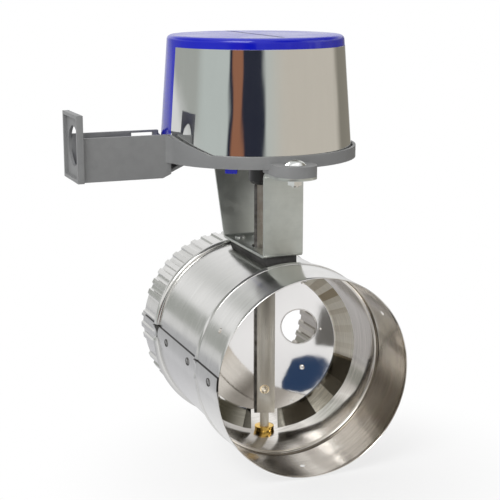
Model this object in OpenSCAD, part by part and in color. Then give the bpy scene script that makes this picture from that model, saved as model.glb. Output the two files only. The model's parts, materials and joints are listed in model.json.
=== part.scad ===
// Automatic vent damper for a 150 mm round flue pipe.
// Millimetres. Y runs along the duct from the inlet, Z is up, X is to the right.
// The origin is the middle of the inlet opening.

/* [Duct] */
// Outside radius of the duct
pipe_r = 76.2; // [70:0.1:90]
// Sheet thickness of the duct
pipe_wall = 0.9; // [0.7:0.1:1.2]
// Inlet rim to the damper shaft
inlet_len = 100.5; // [94:0.5:120]
// Damper shaft to the outlet rim
outlet_len = 94.2; // [90:0.1:120]
// Widening of the inlet collar
inlet_flare = 2.1; // [0.2:0.1:2.6]
// Inlet bead to the damper shaft
bead_front = 51.5; // [46:0.5:60]
// Outlet bead to the damper shaft
bead_back = 52; // [46:0.5:60]
// Height of a bead over the duct
bead_rise = 3; // [1.5:0.1:3.2]
// Radius of the roller that makes a bead
bead_r = 3.2; // [2.8:0.1:4]
// Number of crimps round the outlet
crimps = 48; // [36:1:60]
// Depth of a crimp
crimp_depth = 1.4; // [0.8:0.1:2]
// Outlet bead to the start of the crimps
crimp_gap = 4.5; // [4.2:0.1:8]
// Angle where the lap seam begins
seam_at = 172.5; // [170:0.5:176]
// Arc that the lap seam covers
seam_arc = 15; // [10:1:24]
// Height of the lap over the duct
seam_rise = 0.7; // [0.4:0.1:1]
// Radius of a clinch mark in the seam
clinch_r = 2; // [1:0.1:3]
// Width of the groove of a clinch mark
clinch_w = 0.8; // [0.4:0.1:0.9]
// Depth of a clinch mark
clinch_d = 0.5; // [0.2:0.1:0.6]
// Angle of the clinch marks round the duct
clinch_at = 178.5; // [176:0.5:183]
// Inlet rim to the middle clinch mark
clinch_mid = 71; // [66:0.5:84]
// Distance between clinch marks
clinch_pitch = 53.5; // [40:0.5:56]
// Radius of a screw hole in the inlet
rim_hole_r = 1.8; // [1.2:0.1:3]
// Inlet rim to its screw holes
rim_hole_in = 22; // [6:1:26]
// Angle of the first screw hole in the inlet
rim_hole_at = 30; // [20:1:40]
// Number of screw holes in the inlet
rim_holes = 3; // [1:1:4]

/* [Blade] */
// Turn of the blade at rest
blade_turn = -20; // [-24:1:-12]
// Radius of the blade over its rim
blade_r = 73.3; // [71:0.1:73.5]
// Radius of the flat middle of the blade
blade_flat_r = 59.5; // [50:0.5:62]
// Sheet thickness of the blade
blade_wall = 0.8; // [0.6:0.1:1.2]
// Depth of the cone from flat to rim
cone_depth = 9; // [5:0.5:11]
// Half width of the notch at each end of the shaft
notch_half = 11; // [10:0.5:14]
// Radius of the bypass hole
bypass_r = 14.4; // [8:0.1:16]
// Bypass hole to the shaft
bypass_x = 28.6; // [26:0.1:36]
// Height of the bypass hole
bypass_z = 12.6; // [-16:0.1:20]
// Width of the raised edge round the bypass hole
bypass_lip = 1.2; // [0.8:0.1:2]
// Length of the gauge slot
slot_len = 5.6; // [3:0.1:8]
// Radius of the gauge dimple
gauge_r = 3; // [2:0.1:3.6]
// Gauge dimple under the duct axis
gauge_z = 22.4; // [20:0.1:26]
// Width of the gauge slot
slot_w = 1.6; // [1:0.1:2.4]
// Gauge slot to the shaft
slot_x = 32.4; // [28:0.1:38]
// Height of the gauge slot
slot_z = 51; // [46:0.5:52]

/* [Shaft] */
// Width of the shaft channel
bar_w = 16.9; // [14:0.1:18]
// Depth of the shaft channel
bar_d = 9; // [7:0.1:10]
// Sheet thickness of the shaft channel
bar_wall = 1.4; // [1:0.1:2]
// Foot of the channel under the duct axis
bar_foot = 58.9; // [54:0.1:62]
// Radius of the lower pin
pin_r = 3.6; // [3:0.1:4.4]
// Length of the lower pin inside the channel
pin_grip = 14; // [8:1:20]
// Depth of the tongue of the lower pin
tongue_t = 4.6; // [3:0.1:5.5]
// Height of the upper blade rivet over the duct axis
rivet_high = 47; // [30:0.1:50]
// Depth of the lower blade rivet under the duct axis
rivet_low = 38.3; // [30:0.1:46]
// Radius of a blade rivet shank
blade_rivet_r = 2; // [1.5:0.1:2.6]
// Radius of the dimple round a blade rivet
dimple_r = 4; // [3.5:0.1:5]
// Depth of the dimple round a blade rivet
dimple_d = 2.6; // [1.5:0.1:3.5]
// Radius of the cross pin through the hub
cross_pin_r = 1.5; // [1:0.1:2]
// Radius of the brass bushing
bush_r = 8; // [6.5:0.1:9]
// Height of the brass bushing over the duct floor
bush_h = 4; // [3:0.1:8]
// Radius of the bushing neck in the duct wall
bush_neck_r = 5.6; // [5:0.1:6.2]

/* [Bracket] */
// Sheet thickness of the bracket
sheet = 2; // [1.5:0.1:2.5]
// Half width of the bracket
bracket_half = 16.5; // [14:0.5:18]
// Thickness of the heat gasket at the crown of the duct
gasket_t = 4.4; // [3:0.1:6]
// Half width of the heat gasket
gasket_half = 12.5; // [11.5:0.5:14]
// Front arm to the shaft
arm_front = 38.5; // [37:0.5:44]
// Foot of the back arm to the shaft
arm_back = 50; // [46:0.5:54]
// Top of the back arm to the shaft
arm_back_top = 77; // [70:0.5:82]
// Height of the bracket from its foot to its top face
bracket_h = 67.9; // [60:0.1:80]
// Front screw to the shaft
screw_front = 60; // [58:0.5:64]
// Back screw to the shaft
screw_back = 92; // [88:0.5:96]
// Radius of the opening round the shaft
shaft_hole_r = 10.6; // [10.2:0.1:11.2]
// Radius of a bracket rivet
rivet_r = 2.4; // [1.6:0.1:3]
// Half distance between bracket rivets across
rivet_x = 7.5; // [6:0.1:8]
// Front bracket rivets to the shaft
rivet_front = 26; // [20:0.5:30]
// Back bracket rivets to the shaft
rivet_back = 36; // [22:0.5:40]

/* [Tray] */
// Tray axis to the right of the shaft
tray_x = 4; // [3:0.1:6]
// Tray axis behind the shaft
tray_y = 30.2; // [29:0.1:31]
// Radius inside the tray wall
tray_in = 79.4; // [78.9:0.1:80]
// Thickness of the tray wall
tray_wall = 2.4; // [2:0.1:3]
// Height of the tray
tray_h = 9.6; // [7.5:0.1:12]
// Thickness of the tray floor
tray_floor = 2.6; // [2:0.1:3.4]
// Height of a screw lug under the tray floor
lug_drop = 3.7; // [2:0.1:6]
// Thickness of the front screw lug
lug_t = 8.4; // [6:0.1:9]
// Radius of the round end of a lug
lug_r = 16.5; // [14:0.5:18]
// Length of the tray arm from the tray axis to the end plate
arm_reach = 149.4; // [140:0.1:170]
// Height of the arm walls
arm_h = 34.1; // [28:0.1:40]
// Foot of the arm under the tray bottom
arm_drop = 11.7; // [8:0.1:16]
// Half width of the arm
arm_half = 18; // [16:0.5:20]
// Thickness of the arm walls
arm_wall = 2.6; // [2:0.1:3.4]
// Half width of the end plate
plate_half = 22.5; // [20:0.5:24]
// Height of the end plate
plate_h = 52; // [46:0.5:58]
// Depth of the edge round the end plate
plate_edge = 5; // [3:0.1:7]
// Thickness of the end plate
plate_wall = 2.4; // [2:0.1:3]
// Radius of the plug hole
plug_r = 15.8; // [12:0.1:16.5]
// Height of the plug hole in the end plate
plug_z = 26.7; // [20:0.1:30]
// Length of the window in the back arm wall
window_len = 18; // [12:1:26]
// Height left over the window
window_top = 1.6; // [1.2:0.1:8]
// Angle where the front gusset meets the tray
gusset_front_at = 219; // [216:1:222]
// Angle where the back gusset meets the tray
gusset_back_at = 150; // [147:1:153]
// Foot of the slope under the arm to the tray wall
slope_out = 3.5; // [3:0.5:12]
// Top of the slope under the tray inside its rim
slope_in = 22; // [8:0.5:26]
// Length of the front lug from its screw to the tray
lug_run = 24; // [22:0.5:28]

/* [Cap] */
// Radius of the cap at its foot
cap_r = 78.2; // [77:0.1:78.4]
// Radius of the cap side at its top
cap_top_r = 71.4; // [69:0.1:73]
// Height of the cap
cap_h = 94.7; // [90:0.1:110]
// Thickness of the cap
cap_wall = 2.2; // [1.8:0.1:3]
// Roundness of the cap edge
cap_round = 4; // [3:0.1:6]
// Length of the groove on the cap
groove_len = 124; // [80:1:130]
// Width of the groove on the cap
groove_w = 3; // [2:0.1:5]
// Depth of the groove on the cap
groove_d = 0.9; // [0.4:0.1:1.2]
// Width of the latch tab of the cap
tab_w = 9.5; // [6:0.1:12]
// Thickness of the latch tab of the cap
tab_t = 2.6; // [2:0.1:2.8]
// Latch tab under the tray bottom
tab_out = 4; // [2:0.1:6]
// Angle of the latch tab round the cap
tab_at = 234; // [230:1:238]
// Thickness of the foil
foil_t = 0.25; // [0.15:0.05:0.5]
// Cap top to the upper edge of the foil
foil_down = 8.5; // [7:0.1:14]
// Angle where the foil begins
foil_at = 183.4; // [178:0.1:188]
// Arc that the foil covers
foil_arc = 204; // [180:1:230]

/* [Drive] */
// Radius of the hub
hub_r = 13; // [11.5:0.1:14]
// Length of the hub under the tray
hub_low = 18.5; // [14:0.5:28]
// Bevel at the foot of the hub
hub_bevel = 2.5; // [1:0.1:3.5]
// Wall of the boss round the hub
boss_wall = 4; // [3:0.1:6]
// Height of the boss over the tray floor
boss_h = 5; // [3:0.1:8]
// Height of the hub flange under the gear
flange_h = 2.25; // [1.5:0.05:4]
// Radius of the hub neck that carries the gear
neck_r = 7; // [6:0.1:8]
// Radius of the hub spigot
spigot_r = 4.6; // [4:0.1:5.4]
// Gear module
gear_m = 1.5; // [1.4:0.1:1.5]
// Teeth of the output gear
gear_teeth = 40; // [36:1:42]
// Teeth of the motor pinion
pinion_teeth = 14; // [12:1:16]
// Extra distance between the gear axes
gear_play = 0.1; // [0.05:0.05:0.2]
// Face width of the gears
gear_w = 6; // [4:0.1:7]
// Height of the drive deck over the tray bottom
deck_z = 22; // [21:0.1:30]
// Thickness of the drive deck
deck_t = 1.5; // [1.2:0.1:2]
// Shaft to the edge of the drive deck on the switch side
deck_left = 40; // [38:0.5:42]
// Shaft to the edge of the drive deck on the board side
deck_right = 28; // [27:0.5:30]
// Shaft to the front edge of the drive deck
deck_front = 34; // [32:0.5:38]
// Shaft to the back edge of the drive deck
deck_back = 76; // [75:0.5:80]
// Size of a cut corner of the drive deck
deck_corner = 12; // [8:0.5:16]
// Radius of a deck post
post_r = 3.5; // [3:0.1:4]
// Radius of the gear case
case_r = 24; // [20:0.5:25]
// Height of the gear case
case_h = 17; // [12:0.5:22]
// Radius of the motor can
can_r = 21; // [16:0.5:23]
// Height of the motor can
can_h = 21; // [14:0.5:26]
// Width of the wire block on the motor can
wire_block_w = 10; // [6:0.5:12]
// Length of the wire block past the motor can
wire_block_out = 3; // [2:0.5:4]
// Radius of the motor shaft
motor_shaft_r = 3; // [2:0.1:3.5]
// Radius of the switch cam
cam_r = 11; // [9:0.1:12]
// Height of a lobe over the cam
cam_lobe = 2; // [1:0.1:2.5]
// Length of a switch
switch_len = 20; // [18:0.1:22]
// Width of a switch
switch_w = 10.2; // [9:0.1:11]
// Thickness of a switch
switch_t = 6.4; // [5:0.1:7]

/* [Board] */
// Length of the circuit board
board_len = 56; // [50:0.5:60]
// Width of the circuit board
board_w = 35; // [30:0.5:38]
// Thickness of the circuit board
board_t = 1.6; // [1:0.1:2.4]
// Board underside over the tray bottom
board_z = 28; // [22:0.5:40]
// Middle of the board to the right of the shaft
board_x = 49.5; // [48.5:0.5:50]
// Middle of the board behind the shaft
board_y = 36; // [32:0.5:39]
// Length of the relay
relay_len = 19; // [14:0.5:22]
// Width of the relay
relay_w = 15.4; // [12:0.1:18]
// Height of the relay
relay_h = 15.6; // [12:0.1:20]
// Radius of the capacitor
cond_r = 6; // [4:0.1:7]
// Height of the capacitor
cond_h = 20; // [12:0.5:26]
// Poles of the terminal block
poles = 3; // [2:1:3]
// Distance between terminal poles
pole_pitch = 6; // [5:0.1:6]
// Height of the terminal block
term_h = 10; // [8:0.1:14]
// Depth of the terminal block
term_d = 8.6; // [7:0.1:11]

/* [Fits] */
// Running clearance of a bearing
run_gap = 0.05; // [0.02:0.01:0.1]
// Clearance between pieces that are joined
seat_gap = 0.05; // [0.02:0.01:0.2]
// Clearance round a fastener
bolt_gap = 0.2; // [0.1:0.05:0.4]
// Clearance between pieces that pass each other
free_gap = 0.35; // [0.3:0.05:0.6]
// Radius of the bracket screws
screw_r = 3; // [2.5:0.1:4]
// Radius of the domed screw head
dome_r = 8.6; // [7:0.1:9]
// Height of the domed screw head
dome_h = 3.6; // [2.5:0.1:4.5]
// Half width across the bracket nuts
nut_r = 6; // [5:0.1:7]
// Height of the bracket nuts
nut_h = 5; // [3:0.1:6]
// Radius of the small screws
small_r = 1.5; // [1.2:0.1:2]
// Head radius of the small screws
small_head_r = 2.9; // [2.4:0.1:3.3]
// Head height of the small screws
small_head_h = 1.8; // [1:0.1:2.6]
// Depth that a small screw reaches into its post
small_grip = 7; // [4:0.5:9]

/* [Hidden] */
$fn = 96;

bore_r = pipe_r - pipe_wall;
crimp_start = inlet_len + bead_back + crimp_gap;
duct_len = inlet_len + outlet_len;
bead_y = inlet_len - bead_front;
shoulder_t = 1;
shoulder_in = 0.4;
base_z = pipe_r + gasket_t;
bracket_top = base_z + bracket_h;
tray_z = bracket_top + lug_drop;
floor_z = tray_z + tray_floor;
tray_out = tray_in + tray_wall;
tray_mid = tray_in + tray_wall/2;
tabs = 3;
arm_z = tray_z - arm_drop;
cap_z = floor_z + free_gap;
cap_top = cap_z + cap_h;
hub_z = tray_z - hub_low;
boss_top = floor_z + boss_h;
gear_z = boss_top + free_gap + flange_h;
gear_pitch = gear_m*gear_teeth/2;
pinion_pitch = gear_m*pinion_teeth/2;
motor_y = gear_pitch + pinion_pitch + gear_play;
deck_low = tray_z + deck_z;
deck_top = deck_low + deck_t;
cam_z = deck_top + free_gap;
cam_h = 2*switch_t;
spigot_top = cam_z + cam_h + 3.2;
post_spots = [[-34, -16], [22, -28], [-34, 62], [22, 70]];
board_low = tray_z + board_z;
board_top = board_low + board_t;
post_in = post_r + 0.7;
eps = 0.01;

// Stands its children on the shaft axis.
module at_shaft() { translate([0, inlet_len, 0]) children(); }
// Stands its children on the tray axis.
module at_tray() { at_shaft() translate([tray_x, tray_y, 0]) children(); }
// Turns its children with the blade.
module at_blade() { at_shaft() rotate([0, 0, blade_turn]) children(); }
// Lays a round solid along the duct.
module along_duct() { rotate([-90, 0, 0]) children(); }
// A solid duct of one radius between two stations.
module duct_core(r, y0, y1) { translate([0, y0, 0]) along_duct() cylinder(r = r, h = y1 - y0); }
// Puts its children at the four corners of the board.
module board_corners() {
    for (i = [-1, 1], j = [-1, 1])
        translate([board_x + i*(board_w/2 - post_in), board_y + j*(board_len/2 - post_in), 0]) children();
}
// Puts its children at the deck posts.
module deck_corners() { for (p = post_spots) translate([p[0], p[1], 0]) children(); }
// Puts its children at the bracket rivets.
module rivet_spots() {
    for (i = [-1, 1], y = [-rivet_front, rivet_back]) translate([i*rivet_x, y, 0]) children();
}
// Puts its children at the two tray screws.
module screw_spots() { for (y = [-screw_front, screw_back]) translate([0, y, 0]) children(); }
// A small screw whose head rests on z = 0.
module small_screw(grip) {
    difference() {
        union() {
            cylinder(r = small_head_r, h = small_head_h);
            translate([0, 0, -grip]) cylinder(r = small_r, h = grip + eps);
        }
        for (a = [0, 90]) rotate([0, 0, a])
            translate([-small_r, -0.35, small_head_h - 0.9]) cube([2*small_r, 0.7, 1]);
    }
}

// The duct.
function crimp_pt(i, n, hi, lo) =
    let (k = i % 4, r = k < 2 ? hi : lo, a = 360*(floor(i/4) + [0.06, 0.44, 0.56, 0.94][k])/n)
    [r*cos(a), r*sin(a)];

// The side of the duct from its axis out to one radius, with the wide inlet collar.
module duct_side(r, y0, y1) {
    wide = r + inlet_flare;
    polygon([[-1, y0], [wide, y0], [wide, bead_y - bead_r], [r, bead_y], [r, y1], [-1, y1]]);
}

// The rings that the beads are rolled round.
module bead_rings(r) {
    for (y = [bead_y, inlet_len + bead_back]) translate([pipe_r + bead_rise - bead_r, y]) circle(r = r);
}

module duct_profile() {
    difference() {
        union() {
            duct_side(pipe_r, 0, crimp_start);
            bead_rings(bead_r);
        }
        duct_side(bore_r, -1, crimp_start + 1);
    }
    translate([bore_r - crimp_depth + shoulder_in, crimp_start - shoulder_t])
        square([pipe_wall + crimp_depth - shoulder_in, shoulder_t]);
}

module crimped_end() {
    n = 4*crimps;
    hi = pipe_r - 0.05;
    lo = pipe_r - crimp_depth;
    low = crimp_start - shoulder_t/2;
    translate([0, low, 0]) along_duct() linear_extrude(height = duct_len - low)
        difference() {
            intersection() {
                polygon([for (i = [0:n - 1]) crimp_pt(i, crimps, hi + 0.4, lo)]);
                circle(r = hi, $fn = 192);
            }
            polygon([for (i = [0:n - 1]) crimp_pt(i, crimps, hi - pipe_wall, lo - pipe_wall)]);
        }
}

module lap_seam() {
    along_duct() rotate([0, 0, seam_at]) rotate_extrude(angle = seam_arc) difference() {
        duct_side(pipe_r + seam_rise, 0, crimp_start);
        duct_side(pipe_r - pipe_wall/3, -1, crimp_start + 1);
    }
}

module vent_pipe() {
    color("gainsboro") difference() {
        union() {
            along_duct() rotate_extrude() duct_profile();
            crimped_end();
            lap_seam();
        }
        along_duct() rotate_extrude() bead_rings(bead_r - pipe_wall);
        translate([0, inlet_len, bore_r - 4]) cylinder(r = shaft_hole_r, h = 8);
        translate([0, inlet_len, -pipe_r - 2]) cylinder(r = bush_neck_r + seat_gap, h = 6);
        at_shaft() rivet_spots() translate([0, 0, bore_r - 4]) cylinder(r = rivet_r + bolt_gap, h = 8);
        for (i = [0:rim_holes - 1]) rotate([0, -rim_hole_at - 360*i/rim_holes, 0])
            translate([bore_r - 3, rim_hole_in, 0]) rotate([0, 90, 0]) cylinder(r = rim_hole_r, h = 8);
        for (i = [-1, 0, 1]) rotate([0, 180 - clinch_at, 0])
            translate([-pipe_r - seam_rise - 1, clinch_mid + i*clinch_pitch, 0]) rotate([0, 90, 0])
                difference() {
                    cylinder(r = clinch_r, h = clinch_d + 1);
                    translate([0, 0, -1]) cylinder(r = clinch_r - clinch_w, h = clinch_d + 3);
                }
    }
}

module lower_bushing() {
    color("goldenrod") at_shaft() difference() {
        union() {
            intersection() {
                translate([0, 0, -bore_r]) cylinder(r = bush_r, h = bush_h);
                duct_core(bore_r - seat_gap, -bush_r, bush_r);
            }
            translate([0, 0, -pipe_r - 1.5]) cylinder(r = bush_neck_r, h = 3.5);
            difference() {
                translate([0, 0, -pipe_r - 1.8]) cylinder(r = bush_r - 0.8, h = 2.2);
                duct_core(pipe_r + seat_gap, -bush_r, bush_r);
            }
        }
        translate([0, 0, -pipe_r - 3]) cylinder(r = pin_r + run_gap, h = bush_h + 8);
    }
}

// The bracket.
module heat_gasket() {
    color("dimgray") at_shaft() difference() {
        translate([-gasket_half, -arm_front + 3, 0])
            cube([2*gasket_half, arm_front + arm_back - 8, base_z - seat_gap]);
        duct_core(pipe_r + seat_gap, -arm_front, arm_back);
        cylinder(r = shaft_hole_r, h = 2*base_z);
        rivet_spots() cylinder(r = rivet_r + bolt_gap, h = 2*base_z);
    }
}

module bracket_side() {
    lean = (arm_back_top - arm_back)/(bracket_top - base_z);
    side = sheet*sqrt(1 + lean*lean);
    end_back = screw_back;
    polygon([[-arm_front, base_z], [arm_back, base_z], [arm_back_top, bracket_top - sheet],
             [end_back, bracket_top - sheet], [end_back, bracket_top],
             [arm_back_top - side, bracket_top], [arm_back - side, base_z + sheet],
             [-arm_front + sheet, base_z + sheet], [-arm_front + sheet, bracket_top],
             [-screw_front, bracket_top], [-screw_front, bracket_top - sheet],
             [-arm_front, bracket_top - sheet]]);
}

module bracket() {
    color("silver") at_shaft() difference() {
        union() {
            translate([bracket_half, 0, 0]) rotate([90, 0, -90]) mirror([1, 0, 0])
                linear_extrude(height = 2*bracket_half) bracket_side();
            screw_spots() translate([0, 0, bracket_top - sheet]) cylinder(r = bracket_half, h = sheet);
        }
        translate([0, 0, base_z - 1]) cylinder(r = shaft_hole_r, h = sheet + 2);
        rivet_spots() translate([0, 0, base_z - 1]) cylinder(r = rivet_r + bolt_gap, h = sheet + 2);
        screw_spots() translate([0, 0, bracket_top - sheet - 1])
            cylinder(r = screw_r + bolt_gap, h = sheet + 2);
    }
}

module bracket_rivets() {
    low = bore_r - 1.6;
    color("lightgray") at_shaft() rivet_spots() {
        translate([0, 0, low]) cylinder(r = rivet_r, h = base_z + sheet + 0.4 - low);
        translate([0, 0, base_z + sheet + seat_gap]) cylinder(r = 1.8*rivet_r, h = 1.1);
        translate([0, 0, low - 0.6]) cylinder(r = 1.5*rivet_r, h = 1);
    }
}

// The tray.
module arm_side() {
    x_end = -arm_reach;
    polygon([[x_end, arm_z], [-tray_out - slope_out, arm_z], [-tray_out + slope_in, tray_z],
             [-tray_out + slope_in, tray_z + 1], [-tray_in + tray_wall, tray_z + 1],
             [-tray_in + tray_wall, arm_z + arm_h], [x_end, arm_z + arm_h]]);
}

module arm_body() {
    difference() {
        translate([0, arm_half, 0]) rotate([90, 0, 0]) linear_extrude(height = 2*arm_half) arm_side();
        translate([0, arm_half - arm_wall, 0]) rotate([90, 0, 0])
            linear_extrude(height = 2*(arm_half - arm_wall)) translate([0, arm_wall])
                polygon([[-2*arm_reach, arm_z], [-tray_out - slope_out, arm_z],
                         [-tray_out + slope_in, tray_z], [0, tray_z],
                         [0, arm_z + 2*arm_h], [-2*arm_reach, arm_z + 2*arm_h]]);
        translate([0, 0, tray_z + 1]) cylinder(r = tray_mid, h = tray_z);
        translate([-sqrt(tray_mid*tray_mid - arm_half*arm_half), -arm_half - 1, arm_z - 1])
            cube([tray_out, arm_wall + 2, tray_z - arm_z + 1.5]);
    }
}

// A wall of the arm runs out to the tray on a slant.
module gusset(s) {
    a = s < 0 ? gusset_front_at : gusset_back_at;
    p0 = [-tray_out - tray_wall/2, s*arm_half];
    p1 = [(tray_in - 2)*cos(a), (tray_in - 2)*sin(a)];
    d = p1 - p0;
    len = norm(d);
    top = arm_z + arm_h;
    low = tray_z + tray_h - tray_wall;
    difference() {
        translate([p0[0], p0[1], 0]) rotate([0, 0, atan2(d[1], d[0])]) rotate([90, 0, 0])
            translate([0, 0, s < 0 ? -arm_wall : 0]) linear_extrude(height = arm_wall)
                polygon([[-0.5, tray_z + 0.4], [len, tray_z + 0.4], [len, low], [0, top - 0.3],
                         [-0.5, top - 0.3]]);
        cylinder(r = tray_mid, h = 3*tray_z);
    }
}

module end_plate() {
    x0 = -arm_reach - plate_edge;
    difference() {
        translate([x0, -plate_half, arm_z]) cube([plate_edge + eps, 2*plate_half, plate_h]);
        translate([x0 - 1, -plate_half + arm_wall, arm_z + arm_wall])
            cube([plate_edge - plate_wall + 1, 2*(plate_half - arm_wall), plate_h - 2*arm_wall]);
        translate([x0 - 1, 0, arm_z + plug_z]) rotate([0, 90, 0]) cylinder(r = plug_r, h = 2*plate_edge + 2);
    }
}

module screw_lug() {
    lug_z = tray_z - lug_drop;
    at_shaft() {
        difference() {
            union() {
                translate([0, -screw_front, lug_z]) cylinder(r = lug_r, h = lug_t);
                translate([-lug_r, -screw_front, lug_z]) cube([2*lug_r, lug_run, lug_t]);
            }
            translate([tray_x, tray_y, tray_z + tray_floor/2]) cylinder(r = tray_mid, h = 2*tray_h);
        }
        translate([0, screw_back, lug_z]) cylinder(r = nut_r + 7, h = lug_drop + tray_floor/2);
    }
}

module posts() {
    at_shaft() {
        deck_corners() translate([0, 0, floor_z - 1])
            cylinder(r = post_r, h = deck_low - floor_z + 1 - seat_gap);
        board_corners() translate([0, 0, floor_z - 1])
            cylinder(r = post_r, h = board_low - floor_z + 1 - seat_gap);
        translate([0, 0, floor_z - 1]) cylinder(r = hub_r + boss_wall, h = 1 + boss_h);
    }
}

module actuator_tray() {
    color("gray") difference() {
        union() {
            at_tray() {
                translate([0, 0, tray_z]) difference() {
                    cylinder(r = tray_out, h = tray_h);
                    translate([0, 0, tray_floor]) cylinder(r = tray_in, h = tray_h);
                }
                arm_body();
                gusset(-1);
                gusset(1);
                end_plate();
            }
            screw_lug();
            posts();
        }
        at_tray() {
            translate([-tray_out - 2, -arm_half + arm_wall, floor_z])
                cube([12, 2*(arm_half - arm_wall), 3*tray_h]);
            translate([-tray_out - 1 - window_len, arm_half - 2*arm_wall, tray_z + 2])
                cube([window_len, 3*arm_wall, arm_h - arm_drop - window_top - 2]);
            for (i = [0:tabs - 1]) rotate([0, 0, tab_at + 360*i/tabs])
                translate([cap_r - tab_t - cap_wall/2 - free_gap, -tab_w/2 - free_gap, tray_z - 1])
                    cube([tab_t + 2*free_gap, tab_w + 2*free_gap, tray_floor + 2]);
        }
        at_shaft() {
            translate([0, 0, tray_z - lug_drop - 1]) cylinder(r = hub_r + run_gap, h = 4*tray_h);
            screw_spots() translate([0, 0, tray_z - lug_drop - 1]) cylinder(r = screw_r + bolt_gap, h = 20);
            deck_corners() translate([0, 0, deck_low - small_grip - 1])
                cylinder(r = small_r + seat_gap, h = 20);
            board_corners() translate([0, 0, board_low - small_grip - 1])
                cylinder(r = small_r + seat_gap, h = 20);
        }
    }
}

module tray_screws() {
    front = tray_z - lug_drop + lug_t;
    low = bracket_top - sheet - nut_h - 1.5;
    color("whitesmoke") at_shaft() {
        for (s = [[-screw_front, front], [screw_back, floor_z]]) translate([0, s[0], 0]) {
            translate([0, 0, low]) cylinder(r = screw_r, h = s[1] - low + 1);
            translate([0, 0, s[1] + seat_gap]) intersection() {
                cylinder(r = dome_r, h = dome_h);
                translate([0, 0, dome_h - (dome_r*dome_r + dome_h*dome_h)/(2*dome_h)])
                    sphere(r = (dome_r*dome_r + dome_h*dome_h)/(2*dome_h));
            }
        }
    }
}

module tray_nuts() {
    color("silver") at_shaft() screw_spots() translate([0, 0, bracket_top - sheet - nut_h - seat_gap])
        difference() {
            cylinder(r = nut_r, h = nut_h, $fn = 6);
            translate([0, 0, -1]) cylinder(r = screw_r + seat_gap, h = nut_h + 2);
        }
}

// The drive under the cap.
module drive_deck() {
    outline = [[-deck_left, -deck_front + deck_corner], [deck_right - 2*deck_corner, -deck_front],
               [deck_right, -deck_front], [deck_right, deck_back],
               [-deck_left + deck_corner, deck_back], [-deck_left, deck_back - deck_corner]];
    color("lightgray") at_shaft() difference() {
        translate([0, 0, deck_low]) linear_extrude(height = deck_t)
            polygon(outline);
        translate([0, 0, deck_low - 1]) cylinder(r = spigot_r + 1.4, h = deck_t + 2);
        translate([0, motor_y, deck_low - 1]) cylinder(r = motor_shaft_r + 3, h = deck_t + 2);
        deck_corners() translate([0, 0, deck_low - 1]) cylinder(r = small_r + bolt_gap, h = deck_t + 2);
        motor_spots() translate([0, 0, deck_low - 1]) cylinder(r = small_r + bolt_gap, h = deck_t + 2);
        switch_spots() translate([0, 0, deck_low - 1]) cylinder(r = small_r + seat_gap, h = deck_t + 2);
    }
}

module deck_screws() {
    color("silver") at_shaft() deck_corners() translate([0, 0, deck_top + seat_gap])
        small_screw(deck_t + small_grip);
}

// Puts its children at the two ears of the gear case.
module motor_spots() {
    for (s = [-1, 1]) translate([s*(case_r - 4)*cos(20), motor_y - s*0.35*case_r, 0]) children();
}

module gear_case() {
    color("dimgray") at_shaft() difference() {
        union() {
            translate([0, motor_y, deck_top + seat_gap]) cylinder(r = case_r, h = case_h - seat_gap);
            motor_spots() translate([0, 0, deck_top + seat_gap]) cylinder(r = small_head_r + 1.6, h = 3);
        }
        translate([0, motor_y, deck_low]) cylinder(r = motor_shaft_r + run_gap, h = case_h - 1);
        motor_spots() translate([0, 0, deck_low]) cylinder(r = small_r + bolt_gap, h = 2*case_h);
        motor_spots() translate([0, 0, deck_top + 4]) cylinder(r = small_head_r + 0.6, h = 2*case_h);
    }
}

module motor_can() {
    color("silver") at_shaft() {
        translate([0, motor_y, deck_top + case_h + seat_gap]) cylinder(r = can_r, h = can_h);
        translate([0, motor_y, deck_top + case_h + can_h - 1]) cylinder(r = can_r/3, h = 2.5);
        translate([can_r - 3, motor_y - wire_block_w/2, deck_top + case_h + seat_gap])
            cube([3 + wire_block_out, wire_block_w, can_h/2]);
    }
}

module motor_screws() {
    color("silver") at_shaft() motor_spots() translate([0, 0, deck_top + 4 + seat_gap])
        small_screw(4 + deck_t + 2);
}

// Puts its children at the two screws of the switches.
module switch_spots() {
    for (i = [-1, 1])
        translate([-cam_r - cam_lobe - 1.4 - switch_w/2, i*(switch_len/2 - 4) - 2, 0]) children();
}

module switch_body(k) {
    x0 = -cam_r - cam_lobe - 1.4 - switch_w;
    z0 = cam_z + k*switch_t + seat_gap - free_gap;
    at_shaft() {
        difference() {
            translate([x0, -switch_len/2 - 2, z0]) cube([switch_w, switch_len, switch_t - 2*seat_gap]);
            switch_spots() translate([0, 0, z0 - 1]) cylinder(r = small_r + seat_gap, h = switch_t + 2);
        }
        for (i = [-1, 0, 1])
            translate([x0 - 4, i*7 - 2.6, z0 + switch_t/2 - 1.6]) cube([4 + eps, 1.2, 3]);
        translate([x0 + switch_w - eps, -1, z0 + switch_t/2 - 1]) cube([0.9, 2, 2]);
    }
}

module switch_lower() { color("black") switch_body(0); }

module switch_upper() { color("darkred") switch_body(1); }

module switch_screws() {
    grip = 2*switch_t + deck_t;
    color("silver") at_shaft() switch_spots() translate([0, 0, cam_z - free_gap + 2*switch_t + seat_gap])
        small_screw(grip);
}

module circuit_board() {
    color("darkgreen") at_shaft() difference() {
        translate([board_x - board_w/2, board_y - board_len/2, board_low])
            cube([board_w, board_len, board_t]);
        board_corners() translate([0, 0, board_low - 1]) cylinder(r = small_r + bolt_gap, h = board_t + 2);
    }
}

module board_screws() {
    color("silver") at_shaft() board_corners() translate([0, 0, board_top + seat_gap])
        small_screw(board_t + small_grip);
}

module relay() {
    color("orange") at_shaft()
        translate([board_x - relay_w/2 - 3, board_y - relay_len/2 - 6, board_top + seat_gap])
            cube([relay_w, relay_len, relay_h]);
}

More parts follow.
